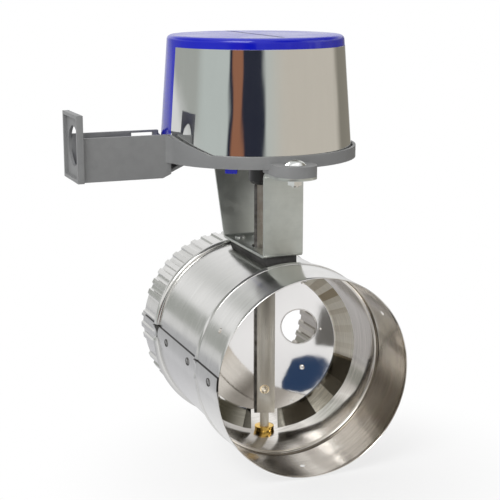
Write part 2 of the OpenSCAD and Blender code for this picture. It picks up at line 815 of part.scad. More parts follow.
module capacitor() {
    color("navy") at_shaft() translate([board_x + 6, board_y + relay_len/2 + 2, board_top + seat_gap]) {
        cylinder(r = cond_r, h = cond_h - 0.8);
        cylinder(r = cond_r - 0.8, h = cond_h);
    }
}

module terminal_spots() {
    for (i = [0:poles - 1])
        translate([board_x + (i - (poles - 1)/2)*pole_pitch, board_y - board_len/2 + term_d/2 + 0.5, 0])
            children();
}

module terminal_block() {
    w = poles*pole_pitch;
    color("green") at_shaft() difference() {
        translate([board_x - w/2, board_y - board_len/2 + 0.5, board_top + seat_gap])
            cube([w, term_d, term_h]);
        terminal_spots() translate([0, 0, board_top + term_h - 5]) cylinder(r = small_r + seat_gap, h = 8);
        terminal_spots() translate([0, 0, board_top + term_h - 2]) cylinder(r = 2.4, h = 8);
        terminal_spots() translate([-1.7, -term_d, board_top + 1.4]) cube([3.4, term_d, 3]);
    }
}

module terminal_screws() {
    foot = board_top + term_h - 5 + seat_gap;
    color("silver") at_shaft() terminal_spots() translate([0, 0, foot]) difference() {
        union() {
            cylinder(r = small_r, h = 3.4);
            translate([0, 0, 3]) cylinder(r = 2.2, h = 1.4);
        }
        translate([-3, -0.35, 3.7]) cube([6, 0.7, 2]);
    }
}

// The blade and its shaft.
// Puts its children at the blade rivets, with Z along the rivet.
module blade_rivet_spots() {
    for (z = [-rivet_low, rivet_high]) translate([0, 0, z]) rotate([-90, 0, 0]) children();
}

module blade_plate() {
    y0 = bar_d/2 + seat_gap;
    slope = cone_depth/(blade_r - blade_flat_r);
    k = blade_wall*sqrt(1 + slope*slope);
    translate([0, y0, 0]) rotate([-90, 0, 0]) rotate_extrude()
        polygon([[0, 0], [blade_flat_r, 0], [blade_r, -cone_depth], [blade_r + 0.4, -cone_depth + 0.4*slope],
                 [blade_flat_r + 0.4, blade_wall], [0, blade_wall]]);
}

module blade() {
    y0 = bar_d/2 - 3;
    color("lavender") at_blade() difference() {
        union() {
            blade_plate();
            translate([bypass_x, bar_d/2 + seat_gap, bypass_z]) rotate([90, 0, 0])
                cylinder(r = bypass_r + bypass_lip, h = 0.6);
        }
        for (z = [blade_flat_r - 1, -2*blade_r - blade_flat_r + 1])
            translate([-notch_half, -bar_d, z]) cube([2*notch_half, 3*bar_d, 2*blade_r]);
        translate([bypass_x, y0, bypass_z]) rotate([-90, 0, 0]) cylinder(r = bypass_r, h = 6);
        translate([slot_x, y0, slot_z]) rotate([0, -35, 0]) translate([-slot_len/2, 0, -slot_w/2])
            cube([slot_len, 6, slot_w]);
        blade_rivet_spots() translate([0, 0, y0]) cylinder(r = blade_rivet_r + seat_gap, h = 6);
        translate([slot_x - 0.9, bar_d/2 - 0.6, -gauge_z]) rotate([-90, 0, 0])
            cylinder(r = gauge_r, h = 0.95);
    }
}

module shaft_bar() {
    top = hub_z + hub_low + tray_floor;
    color("tan") at_blade() difference() {
        union() {
            difference() {
                translate([-bar_w/2, -bar_d/2, -bar_foot]) cube([bar_w, bar_d, bar_foot + top]);
                translate([-bar_w/2 + bar_wall, -bar_d/2 + bar_wall, -bar_foot - 1])
                    cube([bar_w - 2*bar_wall, bar_d, bar_foot + top + 2]);
            }
            blade_rivet_spots() translate([0, 0, -bar_d/2 + eps])
                cylinder(r = dimple_r + bar_wall, h = bar_d - eps);
        }
        blade_rivet_spots() translate([0, 0, -bar_d/2 - 1]) {
            cylinder(r = dimple_r, h = dimple_d + 1);
            cylinder(r = blade_rivet_r + seat_gap, h = 2*bar_d);
        }
        translate([-bar_w, 0, hub_z + hub_low/2]) rotate([0, 90, 0])
            cylinder(r = cross_pin_r + seat_gap, h = 2*bar_w);
    }
}

module shaft_pin() {
    low = -pipe_r - 1.2;
    neck = -bore_r + bush_h + 1;
    color("silver") at_blade() union() {
        translate([0, 0, low]) cylinder(r = pin_r, h = neck - low);
        translate([-pin_r, -bar_d/2 + bar_wall + seat_gap, neck - 1])
            cube([2*pin_r, tongue_t, pin_grip - bar_foot - neck + 1]);
    }
}

module blade_rivets() {
    color("silver") at_blade() blade_rivet_spots() {
        translate([0, 0, -bar_d/2 + dimple_d - 0.5])
            cylinder(r = blade_rivet_r, h = bar_d - dimple_d + blade_wall + 1.5);
        translate([0, 0, -bar_d/2 + dimple_d - 0.9 - seat_gap]) cylinder(r = dimple_r - 0.6, h = 0.9);
        translate([0, 0, bar_d/2 + blade_wall + 2*seat_gap]) cylinder(r = 2*blade_rivet_r, h = 1.2);
    }
}

module drive_hub() {
    neck_z = boss_top + free_gap;
    color("black") at_blade() difference() {
        union() {
            translate([0, 0, hub_z]) cylinder(r1 = hub_r - hub_bevel, r2 = hub_r, h = hub_bevel);
            translate([0, 0, hub_z + hub_bevel]) cylinder(r = hub_r, h = neck_z - hub_z - hub_bevel + eps);
            translate([0, 0, neck_z]) cylinder(r = hub_r + 3, h = gear_z - neck_z);
            translate([0, 0, gear_z - eps]) cylinder(r = neck_r, h = gear_w + 0.5);
            translate([0, 0, gear_z]) cylinder(r = spigot_r, h = spigot_top - gear_z);
        }
        translate([-bar_w/2 - seat_gap, -bar_d/2 - seat_gap, hub_z - 1])
            cube([bar_w + 2*seat_gap, bar_d + 2*seat_gap, hub_low + tray_floor + 1.5]);
        translate([-2*hub_r, 0, hub_z + hub_low/2]) rotate([0, 90, 0])
            cylinder(r = cross_pin_r + seat_gap, h = 4*hub_r);
        translate([0, 0, spigot_top - 2.2]) difference() {
            cylinder(r = spigot_r + 1, h = 1.1);
            translate([0, 0, -1]) cylinder(r = spigot_r - 0.9, h = 3);
        }
    }
}

module hub_pin() {
    color("silver") at_blade() translate([-hub_r + 0.4, 0, hub_z + hub_low/2]) rotate([0, 90, 0])
        cylinder(r = cross_pin_r, h = 2*hub_r - 0.8);
}

function inv_pt(rb, r) = let (t = sqrt(max(0, r*r/(rb*rb) - 1))) t - atan(t)*PI/180;

function flank(rb, r, half) = half - inv_pt(rb, max(r, rb))*180/PI;

module gear_2d(teeth) {
    rp = gear_m*teeth/2;
    rb = rp*cos(20);
    ra = rp + 0.95*gear_m;
    rf = rp - 1.2*gear_m;
    half = 90/teeth + inv_pt(rb, rp)*180/PI - 4.5/rp;
    rs = [rf, max(rb, rf + 0.05), (rp + rb)/2, rp, (rp + ra)/2, ra];
    polygon([for (k = [0:teeth - 1], i = [0:11])
        let (up = i < 6, r = up ? rs[i] : rs[11 - i], f = flank(rb, r, half), a = 360*k/teeth + (up ? -f : f))
            [r*cos(a), r*sin(a)]]);
}

module output_gear() {
    color("ivory") at_shaft() translate([0, 0, gear_z + seat_gap]) difference() {
        rotate([0, 0, 90]) linear_extrude(height = gear_w) gear_2d(gear_teeth);
        translate([0, 0, -1]) cylinder(r = neck_r + seat_gap, h = gear_w + 2);
        for (a = [45:90:315]) rotate([0, 0, a + blade_turn]) translate([gear_pitch*0.58, 0, -1])
            cylinder(r = gear_pitch/6, h = gear_w + 2);
    }
}

module motor_pinion() {
    color("silver") at_shaft() translate([0, motor_y, 0]) {
        translate([0, 0, gear_z - 0.4]) rotate([0, 0, -90 + 180/pinion_teeth])
            linear_extrude(height = gear_w + 0.8) gear_2d(pinion_teeth);
        translate([0, 0, gear_z]) cylinder(r = motor_shaft_r, h = deck_top + case_h/2 - gear_z);
    }
}

module switch_cam() {
    color("white") at_blade() translate([0, 0, cam_z]) difference() {
        union() {
            cylinder(r = cam_r, h = cam_h);
            for (k = [0, 1], a = [0, 180]) rotate([0, 0, a + 90*k + 55])
                translate([cam_r - 3.2, 0, k*switch_t]) cylinder(r = 3.2 + cam_lobe - 0.4, h = switch_t);
        }
        translate([0, 0, -1]) cylinder(r = spigot_r + seat_gap, h = cam_h + 2);
    }
}

module spigot_ring() {
    color("silver") at_blade() translate([0, 0, spigot_top - 2.1]) difference() {
        cylinder(r = spigot_r + 2.2, h = 0.9);
        translate([0, 0, -1]) cylinder(r = spigot_r - 0.85, h = 3);
        translate([0, -1.6, -1]) cube([2*spigot_r, 3.2, 3]);
    }
}

// The cap.
function cap_slope() = (cap_r - cap_top_r)/(cap_h - cap_round);
function cap_radius(z) = cap_r - (z - cap_z)*cap_slope();

module cap_profile(inset) {
    top = cap_top - inset;
    side = cap_radius(top - cap_round) - inset;
    round_r = cap_round - inset/2;
    union() {
        polygon([[0, cap_z], [cap_r - inset, cap_z], [side, top - round_r], [side - round_r, top], [0, top]]);
        translate([side - round_r, top - round_r]) intersection() {
            circle(r = round_r);
            square([round_r, round_r]);
        }
    }
}

module cap() {
    color("blue") at_tray() difference() {
        union() {
            difference() {
                rotate_extrude() cap_profile(0);
                difference() {
                    rotate_extrude() cap_profile(cap_wall);
                    translate([-2*cap_r, -2*cap_r, cap_z - 1]) cube([4*cap_r, 4*cap_r, 1]);
                }
            }
            for (i = [0:tabs - 1]) rotate([0, 0, tab_at + 360*i/tabs])
                translate([cap_r - tab_t - cap_wall/2, -tab_w/2, tray_z - tab_out]) {
                    cube([tab_t, tab_w, cap_z + 6 - tray_z + tab_out]);
                }
        }
        translate([-groove_w/2, -groove_len/2 + 4, cap_top - groove_d])
            cube([groove_w, groove_len, 2*groove_d]);
    }
}

module foil_label() {
    z0 = tray_z + tray_h - 4;
    z1 = cap_top - foil_down;
    g = 0.06;
    color("lightsteelblue") at_tray() rotate([0, 0, foil_at]) rotate_extrude(angle = foil_arc)
        polygon([[cap_radius(z0) + g, z0], [cap_radius(z0) + g + foil_t, z0],
                 [cap_radius(z1) + g + foil_t, z1], [cap_radius(z1) + g, z1]]);
}

vent_pipe();
lower_bushing();
heat_gasket();
bracket();
bracket_rivets();
actuator_tray();
tray_screws();
tray_nuts();
drive_deck();
deck_screws();
gear_case();
motor_can();
motor_screws();
switch_lower();
switch_upper();
switch_screws();
circuit_board();
board_screws();
relay();
capacitor();
terminal_block();
terminal_screws();
shaft_bar();
shaft_pin();
blade();
blade_rivets();
drive_hub();
hub_pin();
output_gear();
switch_cam();
spigot_ring();
motor_pinion();
cap();
foil_label();
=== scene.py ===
# Looks of the automatic vent damper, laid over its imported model.
import json
from math import atan2, cos, pi, radians, sin, sqrt

import bmesh
import bpy
from bpy.props import FloatProperty, FloatVectorProperty, IntProperty, PointerProperty
from mathutils import Euler, Matrix, Vector


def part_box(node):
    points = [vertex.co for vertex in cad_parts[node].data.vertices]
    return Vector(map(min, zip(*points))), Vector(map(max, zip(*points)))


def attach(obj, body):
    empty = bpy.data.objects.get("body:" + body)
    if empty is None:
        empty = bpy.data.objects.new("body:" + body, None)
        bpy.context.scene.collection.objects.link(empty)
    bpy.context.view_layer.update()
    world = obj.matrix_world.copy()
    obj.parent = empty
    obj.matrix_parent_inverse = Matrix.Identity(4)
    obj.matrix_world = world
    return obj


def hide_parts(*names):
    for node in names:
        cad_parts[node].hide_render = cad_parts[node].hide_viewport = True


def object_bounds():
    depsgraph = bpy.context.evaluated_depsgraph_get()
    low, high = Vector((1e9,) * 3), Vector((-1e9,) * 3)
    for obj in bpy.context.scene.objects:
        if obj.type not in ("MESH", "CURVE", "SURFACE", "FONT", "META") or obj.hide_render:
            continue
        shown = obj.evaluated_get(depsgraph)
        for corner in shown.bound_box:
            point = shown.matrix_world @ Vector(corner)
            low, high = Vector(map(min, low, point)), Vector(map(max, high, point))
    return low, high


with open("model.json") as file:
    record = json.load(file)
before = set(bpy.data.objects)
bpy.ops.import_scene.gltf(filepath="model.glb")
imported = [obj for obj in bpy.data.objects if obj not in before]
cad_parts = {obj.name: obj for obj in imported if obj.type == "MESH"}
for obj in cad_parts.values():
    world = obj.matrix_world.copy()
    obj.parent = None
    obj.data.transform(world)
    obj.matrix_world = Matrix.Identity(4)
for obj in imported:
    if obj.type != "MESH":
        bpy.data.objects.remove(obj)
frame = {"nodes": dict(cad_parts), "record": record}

bl_info = {
    "name": "Automatic vent damper",
    "version": (1, 1, 0),
    "blender": (4, 5, 0),
    "location": "View3D > Sidebar > Damper",
    "description": "Sheet metal, blade, bracket, tray, cap and drive of a round vent damper",
    "category": "Object",
}

CAD_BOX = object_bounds()
FLOOR_Z = CAD_BOX[0][2]
PIPE_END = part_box("vent_pipe")[1][1]
SHAFT_Y = frame["record"]["behaviour"]["joints"][0]["pos_m"][1]
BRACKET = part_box("bracket")
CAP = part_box("cap")

# Sizes that several pieces share, in metres: the tray's rim, the end of the collar's flare, and holes.
TRAY_TOP = 0.1618
COLLAR_RUN = 0.0032
SHAFT_HOLE, BUSHING_HOLE, RIVET_HOLE, FLANGE_HOLE = 0.0106, 0.00565, 0.0026, 0.0032
RIVET_SIDE, RIVET_FRONT, RIVET_BACK = 0.0075, -0.026, 0.036
RIVET_SPOTS = [(x, SHAFT_Y + y) for x in (-RIVET_SIDE, RIVET_SIDE) for y in (RIVET_FRONT, RIVET_BACK)]


# Settings that a user would change.
def length(name, text, default, low=0.0, high=1.0):
    return FloatProperty(name=name, description=text, default=default, min=low, max=high, unit="LENGTH",
                         precision=5)


def number(name, text, default, low, high):
    return FloatProperty(name=name, description=text, default=default, min=low, max=high)


def count(name, text, default, low, high):
    return IntProperty(name=name, description=text, default=default, min=low, max=high)


def tint(name, text, default):
    return FloatVectorProperty(name=name, description=text, default=default, size=3, min=0, max=1,
                               subtype="COLOR")


def angle(name, text, default):
    return FloatProperty(name=name, description=text, default=radians(default), subtype="ANGLE")


class DuctSettings(bpy.types.PropertyGroup):
    radius: length("Radius", "Outside radius of the duct", 0.0762)
    wall: length("Wall", "Sheet thickness of the duct", 0.0009)
    flare: length("Flare", "Widening of the inlet collar", 0.0021)
    bead_front: length("Front bead", "Inlet rim to the front bead", SHAFT_Y - 0.0515)
    bead_back: length("Back bead", "Inlet rim to the back bead", SHAFT_Y + 0.052)
    bead_rise: length("Bead rise", "Height of a bead over the duct", 0.0030)
    bead_reach: length("Bead reach", "Half width of a bead", 0.0034)
    crimps: count("Crimps", "Number of crimps round the outlet", 48, 12, 90)
    crimp_depth: length("Crimp depth", "Depth of a crimp", 0.0017)
    crimp_start: length("Crimp start", "Inlet rim to the crimps", SHAFT_Y + 0.0565)
    seam_at: angle("Seam", "Angle where the lap seam begins", 172.5)
    seam_arc: angle("Seam arc", "Arc that the lap seam covers", 15)
    seam_rise: length("Seam rise", "Height of the lap over the duct", 0.0010)
    hole_in: length("Screw holes", "Inlet rim to its screw holes", 0.022)
    hole_radius: length("Screw hole", "Radius of a screw hole", 0.0022)
    clinch_angle: angle("Clinch angle", "Angle of the clinch marks over the side of the duct", 1.5)
    clinch_first: length("First clinch", "Inlet rim to the first clinch mark", 0.0175)
    clinch_pitch: length("Clinch pitch", "Distance between clinch marks", 0.0535)
    clinch_radius: length("Clinch radius", "Radius of a clinch mark", 0.0029)
    steel: tint("Steel", "Colour of the duct steel", (0.72, 0.715, 0.70))
    # Colour of the painted dark reflections and shade inside the duct.
    painted_shade_colour: tint("Burnish", "Colour of the burnished streaks inside the duct", (0.15, 0.12, 0.088))
    inside: tint("Inside", "Colour of the steel inside the duct", (0.93, 0.895, 0.84))


class BladeSettings(bpy.types.PropertyGroup):
    turn: angle("Turn", "Turn of the blade at rest", -20)
    radius: length("Radius", "Radius of the blade over its rim", 0.0733)
    flat_radius: length("Flat radius", "Radius of the flat middle", 0.0595)
    wall: length("Wall", "Sheet thickness of the blade", 0.0008)
    cone: length("Cone", "Depth of the cone from flat to rim", 0.009)
    notch: length("Notch", "Half width of the notch at each end of the shaft", 0.011)
    hole_radius: length("Bypass hole", "Radius of the bypass hole", 0.0144)
    hole_x: length("Bypass across", "Bypass hole to the shaft", 0.0286)
    hole_z: length("Bypass height", "Height of the bypass hole", 0.0126, -0.1)
    step: length("Step", "Height of the step where the flange laps", 0.0007)
    crown: length("Crown", "Rise of the flat middle over its edge", 0.0005)
    steel: tint("Steel", "Colour of the polished blade", (0.80, 0.785, 0.775))
    # The upper flange is painted a bright tone as painted light, the lower one a dark brown as painted shade.
    lit_flange: tint("Straw", "Colour of the upper flange", (1.0, 0.96, 0.86))
    shaded_flange: tint("Dull", "Colour of the lower flange", (0.46, 0.44, 0.38))


class CapSettings(bpy.types.PropertyGroup):
    edge: length("Edge", "Roundness of the cap edges", 0.0004)
    groove_long: length("Groove length", "Length of the groove on the cap", 0.124)
    groove_wide: length("Groove width", "Width of the groove on the cap", 0.003)
    groove_back: length("Groove back", "Middle of the groove behind the middle of the cap", 0.004)
    foil_at: angle("Foil start", "Angle where the foil begins", 188.5)
    plastic: tint("Plastic", "Colour of the cap", (0.0, 0.004, 0.50))
    foil: tint("Foil", "Colour of the foil", (0.78, 0.79, 0.78))


class HousingSettings(bpy.types.PropertyGroup):
    bend: length("Bend", "Inner radius of the bends of the bracket", 0.0016)
    top_bend: length("Top bend", "Inner radius of the bends at the tray", 0.0032)
    sheet: length("Sheet", "Thickness of the bracket", 0.002)
    arm_front: length("Front arm", "Front arm to the shaft", 0.0385)
    arm_back: length("Back arm", "Foot of the back arm to the shaft", 0.050)
    arm_back_top: length("Back arm top", "Top of the back arm to the shaft", 0.077)
    half: length("Half width", "Half width of the bracket", 0.0165)
    rivet_radius: length("Rivet", "Radius of a bracket rivet head", 0.0043)
    zinc: tint("Zinc", "Colour of the galvanised bracket", (0.50, 0.52, 0.49))
    plastic: tint("Plastic", "Colour of the tray", (0.225, 0.228, 0.23))
    edge: length("Edge", "Roundness of the tray edges", 0.0006)
    tray_x: length("Tray across", "Middle of the tray beside the shaft", 0.004)
    tray_back: length("Tray back", "Middle of the tray behind the shaft", 0.0302)
    tray_in: length("Rim inside", "Inner radius of the tray rim", 0.07945)
    tray_out: length("Rim outside", "Outer radius of the tray rim", 0.08175)
    shoulder_rise: length("Shoulder", "Height of the rim where it meets the arm", 0.0126)
    shoulder_from: angle("Shoulder start", "Angle where the rim meets the arm", 193)
    shoulder_to: angle("Shoulder end", "Angle where the rim is level again", 223.5)


class DriveSettings(bpy.types.PropertyGroup):
    rivet_low: length("Lower rivet", "Depth of the lower blade rivet under the axis", 0.0383)
    rivet_high: length("Upper rivet", "Height of the upper blade rivet over the axis", 0.047)
    cup_radius: length("Cup", "Radius of the pressed cup of a blade rivet", 0.0040)
    cup_depth: length("Cup depth", "Depth of the pressed cup of a blade rivet", 0.0026)
    bar_depth: length("Bar depth", "Depth of the shaft channel", 0.009)
    brass: tint("Brass", "Colour of the bushing", (0.80, 0.52, 0.13))
    bar: tint("Bar", "Colour of the shaft channel", (1.0, 0.90, 0.76))
    hub: tint("Hub", "Colour of the hub", (0.012, 0.012, 0.013))


class StageSettings(bpy.types.PropertyGroup):
    floor: tint("Floor", "Colour of the floor", (0.90, 0.90, 0.90))
    floor_radius: length("Floor radius", "Radius of the round floor", 0.85, 0.3, 5)
    world: number("World", "Strength of the plain studio light", 0.50, 0, 4)
    key: number("Key", "Power of the key lamp in watts", 12, 0, 500)
    fill: number("Fill", "Power of the fill lamps in watts", 2.0, 0, 500)


class DamperSettings(bpy.types.PropertyGroup):
    duct: PointerProperty(type=DuctSettings)
    blade: PointerProperty(type=BladeSettings)
    cap: PointerProperty(type=CapSettings)
    housing: PointerProperty(type=HousingSettings)
    drive: PointerProperty(type=DriveSettings)
    stage: PointerProperty(type=StageSettings)


def settings():
    return bpy.context.scene.damper


# Helpers for shader trees and geometry trees.
VEC, VAL, INT = "NodeSocketVector", "NodeSocketFloat", "NodeSocketInt"


def fill(tree, node, sockets):
    """Links or sets the inputs of a node."""
    for k, v in sockets.items():
        if isinstance(v, bpy.types.NodeSocket):
            tree.links.new(v, node.inputs[k])
        else:
            node.inputs[k].default_value = v
    return node


def put(tree, kind, sockets=None, **props):
    """A new node with its properties and inputs set."""
    n = tree.nodes.new(kind)
    for k, v in props.items():
        setattr(n, k, v)
    return fill(tree, n, sockets or {})


def geo(tree, kind, sockets=None, **props):
    """What a new geometry node gives."""
    return put(tree, kind, sockets, **props).outputs[0]


def maths(tree, op, a, b=0.0, clamp=False):
    return put(tree, "ShaderNodeMath", {0: a, 1: b}, operation=op, use_clamp=clamp).outputs[0]


def mul(tree, a, b, clamp=False):
    return maths(tree, "MULTIPLY", a, b, clamp)


def add(tree, a, b, clamp=False):
    return maths(tree, "ADD", a, b, clamp)


def sub(tree, a, b):
    return maths(tree, "SUBTRACT", a, b)


def absolute(tree, a):
    return maths(tree, "ABSOLUTE", a)


def most(tree, first, *rest):
    """The greatest of some values."""
    for value in rest:
        first = maths(tree, "MAXIMUM", first, value)
    return first


def blend(tree, f, a, b):
    """From colour a to colour b by the factor f."""
    return put(tree, "ShaderNodeMix", {0: f, 6: a, 7: b}, data_type="RGBA", blend_type="MIX").outputs[2]


def span(tree, v, a, b, c=0.0, d=1.0, smooth=False):
    """The value v carried from the range a, b to the range c, d."""
    n = put(tree, "ShaderNodeMapRange", {0: v, 1: a, 2: b, 3: c, 4: d},
            interpolation_type="SMOOTHSTEP" if smooth else "LINEAR")
    return n.outputs[0]


def vector(tree, op, sockets, out=0):
    """One output of a vector sum, product or measure."""
    return put(tree, "ShaderNodeVectorMath", sockets, operation=op).outputs[out]


def scaled(tree, v, s):
    return vector(tree, "MULTIPLY", {0: v, 1: s})


def parts(tree, v):
    """The x, y and z of a vector."""
    return put(tree, "ShaderNodeSeparateXYZ", {0: v}).outputs


def point(tree, x, y, z=0.0):
    return put(tree, "ShaderNodeCombineXYZ", {0: x, 1: y, 2: z}).outputs[0]


def noise(tree, v, scale, detail, out="Fac", **more):
    """A noise texture; more holds its Roughness and Distortion."""
    n = put(tree, "ShaderNodeTexNoise", {"Vector": v, "Scale": scale, "Detail": detail, **more})
    return n.outputs[out]


def rgba(c, k=1.0):
    """A colour made brighter or darker by k."""
    return (min(c[0] * k, 1), min(c[1] * k, 1), min(c[2] * k, 1), 1)


def effect(name, ins, outs, build):
    """A shader node group, built once."""
    g = bpy.data.node_groups.get(name)
    if g:
        return g
    g = bpy.data.node_groups.new(name, "ShaderNodeTree")
    for n, kind, value in ins:
        s = g.interface.new_socket(n, in_out="INPUT", socket_type=kind)
        if value is not None:
            s.default_value = value
    for n in outs:
        g.interface.new_socket(n, in_out="OUTPUT", socket_type=VAL)
    i, o = g.nodes.new("NodeGroupInput"), g.nodes.new("NodeGroupOutput")
    for n, s in build(g, i.outputs).items():
        g.links.new(s, o.inputs[n])
    return g


def use(tree, group, sockets):
    """The outputs of an effect laid into a tree."""
    return put(tree, "ShaderNodeGroup", sockets, node_tree=group).outputs


def grow(ob, name, values, material, build):
    """Runs a geometry tree on ob and keeps its result as a plain mesh."""
    g = bpy.data.node_groups.new(name, "GeometryNodeTree")
    g.interface.new_socket("Geometry", in_out="INPUT", socket_type="NodeSocketGeometry")
    for key, (kind, value) in values.items():
        g.interface.new_socket(key, in_out="INPUT", socket_type=kind).default_value = value
    g.interface.new_socket("Geometry", in_out="OUTPUT", socket_type="NodeSocketGeometry")
    i, o = g.nodes.new("NodeGroupInput"), g.nodes.new("NodeGroupOutput")
    made = build(g, i.outputs)
    made = geo(g, "GeometryNodeRealizeInstances", {0: made})
    made = geo(g, "GeometryNodeSetMaterial", {"Geometry": made, "Material": material})
    g.links.new(made, o.inputs[0])
    mod = ob.modifiers.new(name, "NODES")
    mod.node_group = g
    for item in g.interface.items_tree:
        if item.in_out == "INPUT" and item.name in values:
            mod[item.identifier] = values[item.name][1]
    bake(ob)


# Effects that the finishes share.
def rolled_grain():
    """Long fine lines, as rolling or brushing leaves on sheet."""
    def build(g, i):
        p = scaled(g, i["Vector"], i["Stretch"])
        fine = noise(g, p, 1.0, 5.0, Roughness=0.7)
        wide = noise(g, scaled(g, p, (0.13, 0.13, 0.13)), 1.0, 2.0)
        return {"Grain": add(g, mul(g, fine, 0.6), mul(g, wide, 0.4))}
    return effect("rolled_grain", [("Vector", VEC, None), ("Stretch", VEC, (60, 60, 1500))], ["Grain"], build)


def turned_grain():
    """Fine rings round the duct, painted dark reflections and shade inside it, and a painted shadow line at
    its lap.
    """
    def build(g, i):
        x, along, z = parts(g, i["Vector"])
        turn = maths(g, "ARCTAN2", z, x)
        p = point(g, mul(g, maths(g, "SINE", turn), 2.4), mul(g, along, 1150.0),
                  mul(g, maths(g, "COSINE", turn), 2.4))
        fine = noise(g, p, 1.0, 4.0, Roughness=0.65)
        wide = noise(g, scaled(g, p, (0.9, 0.06, 0.9)), 1.0, 2.0)
        drift = noise(g, scaled(g, p, (0.5, 0.008, 0.5)), 1.0, 1.0)

        # The sheet faces the axis on its inner side.
        radial = vector(g, "DOT_PRODUCT", {0: scaled(g, i["Vector"], (1, 0, 1)), 1: i["Normal"]}, "Value")
        inside = span(g, radial, 0.001, -0.001)

        # Painted reflections: four broad dark streaks and many thin ones that drift along the duct.
        collar = span(g, along, i["Collar"], sub(g, i["Collar"], COLLAR_RUN), smooth=True)
        sway = mul(g, sub(g, drift, 0.5), 2.5)
        broad = maths(g, "COSINE", add(g, mul(g, add(g, turn, 0.47), 4.0), sway))
        broad = mul(g, span(g, broad, 0.0, 0.8, smooth=True), span(g, collar, 0.0, 1.0, 0.5, 0.8))
        thin = maths(g, "COSINE", add(g, mul(g, turn, 13.0), mul(g, drift, 9.0)))
        thin = span(g, thin, 0.2, 0.95, 0.0, 0.30, smooth=True)

        # Painted shade: darker towards the rear, at the floor of the duct, on one side behind the collar and
        # in the groove of the bead.
        rear = span(g, along, sub(g, i["Rear"], 0.008), i["Rear"], 0.0, 0.6, smooth=True)
        heel = span(g, absolute(g, add(g, turn, 1.85)), 0.36, 0.12, 0.0, 0.75, smooth=True)
        flank = span(g, absolute(g, sub(g, turn, 0.22)), 0.62, 0.30, 0.0, 0.5, smooth=True)
        flank = mul(g, flank, sub(g, 1.0, collar))
        groove = span(g, absolute(g, sub(g, along, i["Collar"])), 0.0040, 0.0012, 0.0, 0.75)

        # The side beside the seam stays bright.
        bright = span(g, absolute(g, sub(g, absolute(g, turn), 2.75)), 0.68, 0.50)
        painted_shade = mul(g, sub(g, 1.0, bright), most(g, broad, thin, rear, heel, flank, groove))

        # Painted shadow: a line under the edge of the lap outside, and painted shade on the end of the lap at
        # the rim.
        off = absolute(g, sub(g, turn, i["Seam"]))
        line = mul(g, span(g, off, 0.0085, 0.0045), sub(g, 1.0, inside))
        front = parts(g, i["Normal"])[1]
        end = mul(g, span(g, turn, i["Seam"], add(g, i["Seam"], 0.004)), span(g, front, -0.4, -0.7))
        lap_shadow = mul(g, most(g, line, end), span(g, along, i["Seam End"], sub(g, i["Seam End"], 0.002)))
        band = span(g, wide, 0.35, 0.65)
        return {"Grain": fine, "Band": band, "Inside": inside, "Burnish": painted_shade, "Gap": lap_shadow}
    places = [("Seam", VAL, 3.0), ("Collar", VAL, 0.049), ("Rear", VAL, 0.157), ("Seam End", VAL, 0.157)]
    return effect("turned_grain", [("Vector", VEC, None), ("Normal", VEC, None)] + places,
                  ["Grain", "Band", "Inside", "Burnish", "Gap"], build)


def handling_marks():
    """Soft smudges and a few short thin scratches."""
    def build(g, i):
        at = i["Vector"]
        soft = noise(g, at, i["Smudge Scale"], 3.0, Roughness=0.55, Distortion=0.6)
        bent = scaled(g, noise(g, at, 11.0, 1.0, "Color"), (0.03, 0.03, 0.03))
        v = scaled(g, vector(g, "ADD", {0: at, 1: bent}), (1.0, 0.32, 2.1))
        cells = put(g, "ShaderNodeTexVoronoi", {"Vector": v, "Scale": i["Scratch Scale"]},
                    feature="DISTANCE_TO_EDGE")
        line = span(g, cells.outputs["Distance"], 0.0, 0.006, 1.0, 0.0)
        few = span(g, noise(g, at, 47.0, 1.0), 0.62, 0.70)
        return {"Smudge": span(g, soft, 0.34, 0.66), "Scratch": mul(g, line, few)}
    return effect("handling_marks",
                  [("Vector", VEC, None), ("Smudge Scale", VAL, 22.0), ("Scratch Scale", VAL, 60.0)],
                  ["Smudge", "Scratch"], build)


def zinc_spangle():
    """Flat crystals of a galvanised coat."""
    def build(g, i):
        warp = scaled(g, noise(g, i["Vector"], 160.0, 2.0, "Color"), (0.004, 0.004, 0.004))
        v = vector(g, "ADD", {0: i["Vector"], 1: warp})
        cells = put(g, "ShaderNodeTexVoronoi", {"Vector": v, "Scale": i["Scale"]}, feature="F1")
        tone = put(g, "ShaderNodeSeparateColor", {0: cells.outputs["Color"]}).outputs[0]
        fine = noise(g, i["Vector"], 900.0, 3.0)
        return {"Tone": add(g, mul(g, tone, 0.75), mul(g, fine, 0.25))}
    return effect("zinc_spangle", [("Vector", VEC, None), ("Scale", VAL, 190.0)], ["Tone"], build)


def worn_edges():
    """Brighter, rubbed outer edges."""
    def build(g, i):
        edge = span(g, put(g, "ShaderNodeNewGeometry").outputs["Pointiness"], 0.52, 0.60)
        rub = span(g, noise(g, i["Vector"], 130.0, 3.0), 0.35, 0.6)
        return {"Mask": mul(g, edge, mul(g, rub, i["Strength"]), clamp=True)}
    return effect("worn_edges", [("Vector", VEC, None), ("Strength", VAL, 0.5)], ["Mask"], build)


def moulded_skin():
    """Fine grain of moulded plastic, and dust on it."""
    def build(g, i):
        fine = noise(g, i["Vector"], i["Scale"], 4.0, Roughness=0.6)
        soft = noise(g, i["Vector"], 26.0, 3.0, Distortion=0.4)
        return {"Height": fine, "Dust": span(g, soft, 0.42, 0.7)}
    return effect("moulded_skin", [("Vector", VEC, None), ("Scale", VAL, 1400.0)], ["Height", "Dust"], build)


def rolled(tree, at, stretch):
    return use(tree, rolled_grain(), {"Vector": at, "Stretch": stretch})["Grain"]


def handled(tree, at, smudges, scratches):
    """The smudges and scratches at two scales."""
    return use(tree, handling_marks(), {"Vector": at, "Smudge Scale": smudges, "Scratch Scale": scratches})


def worn(tree, at, strength):
    return use(tree, worn_edges(), {"Vector": at, "Strength": strength})["Mask"]


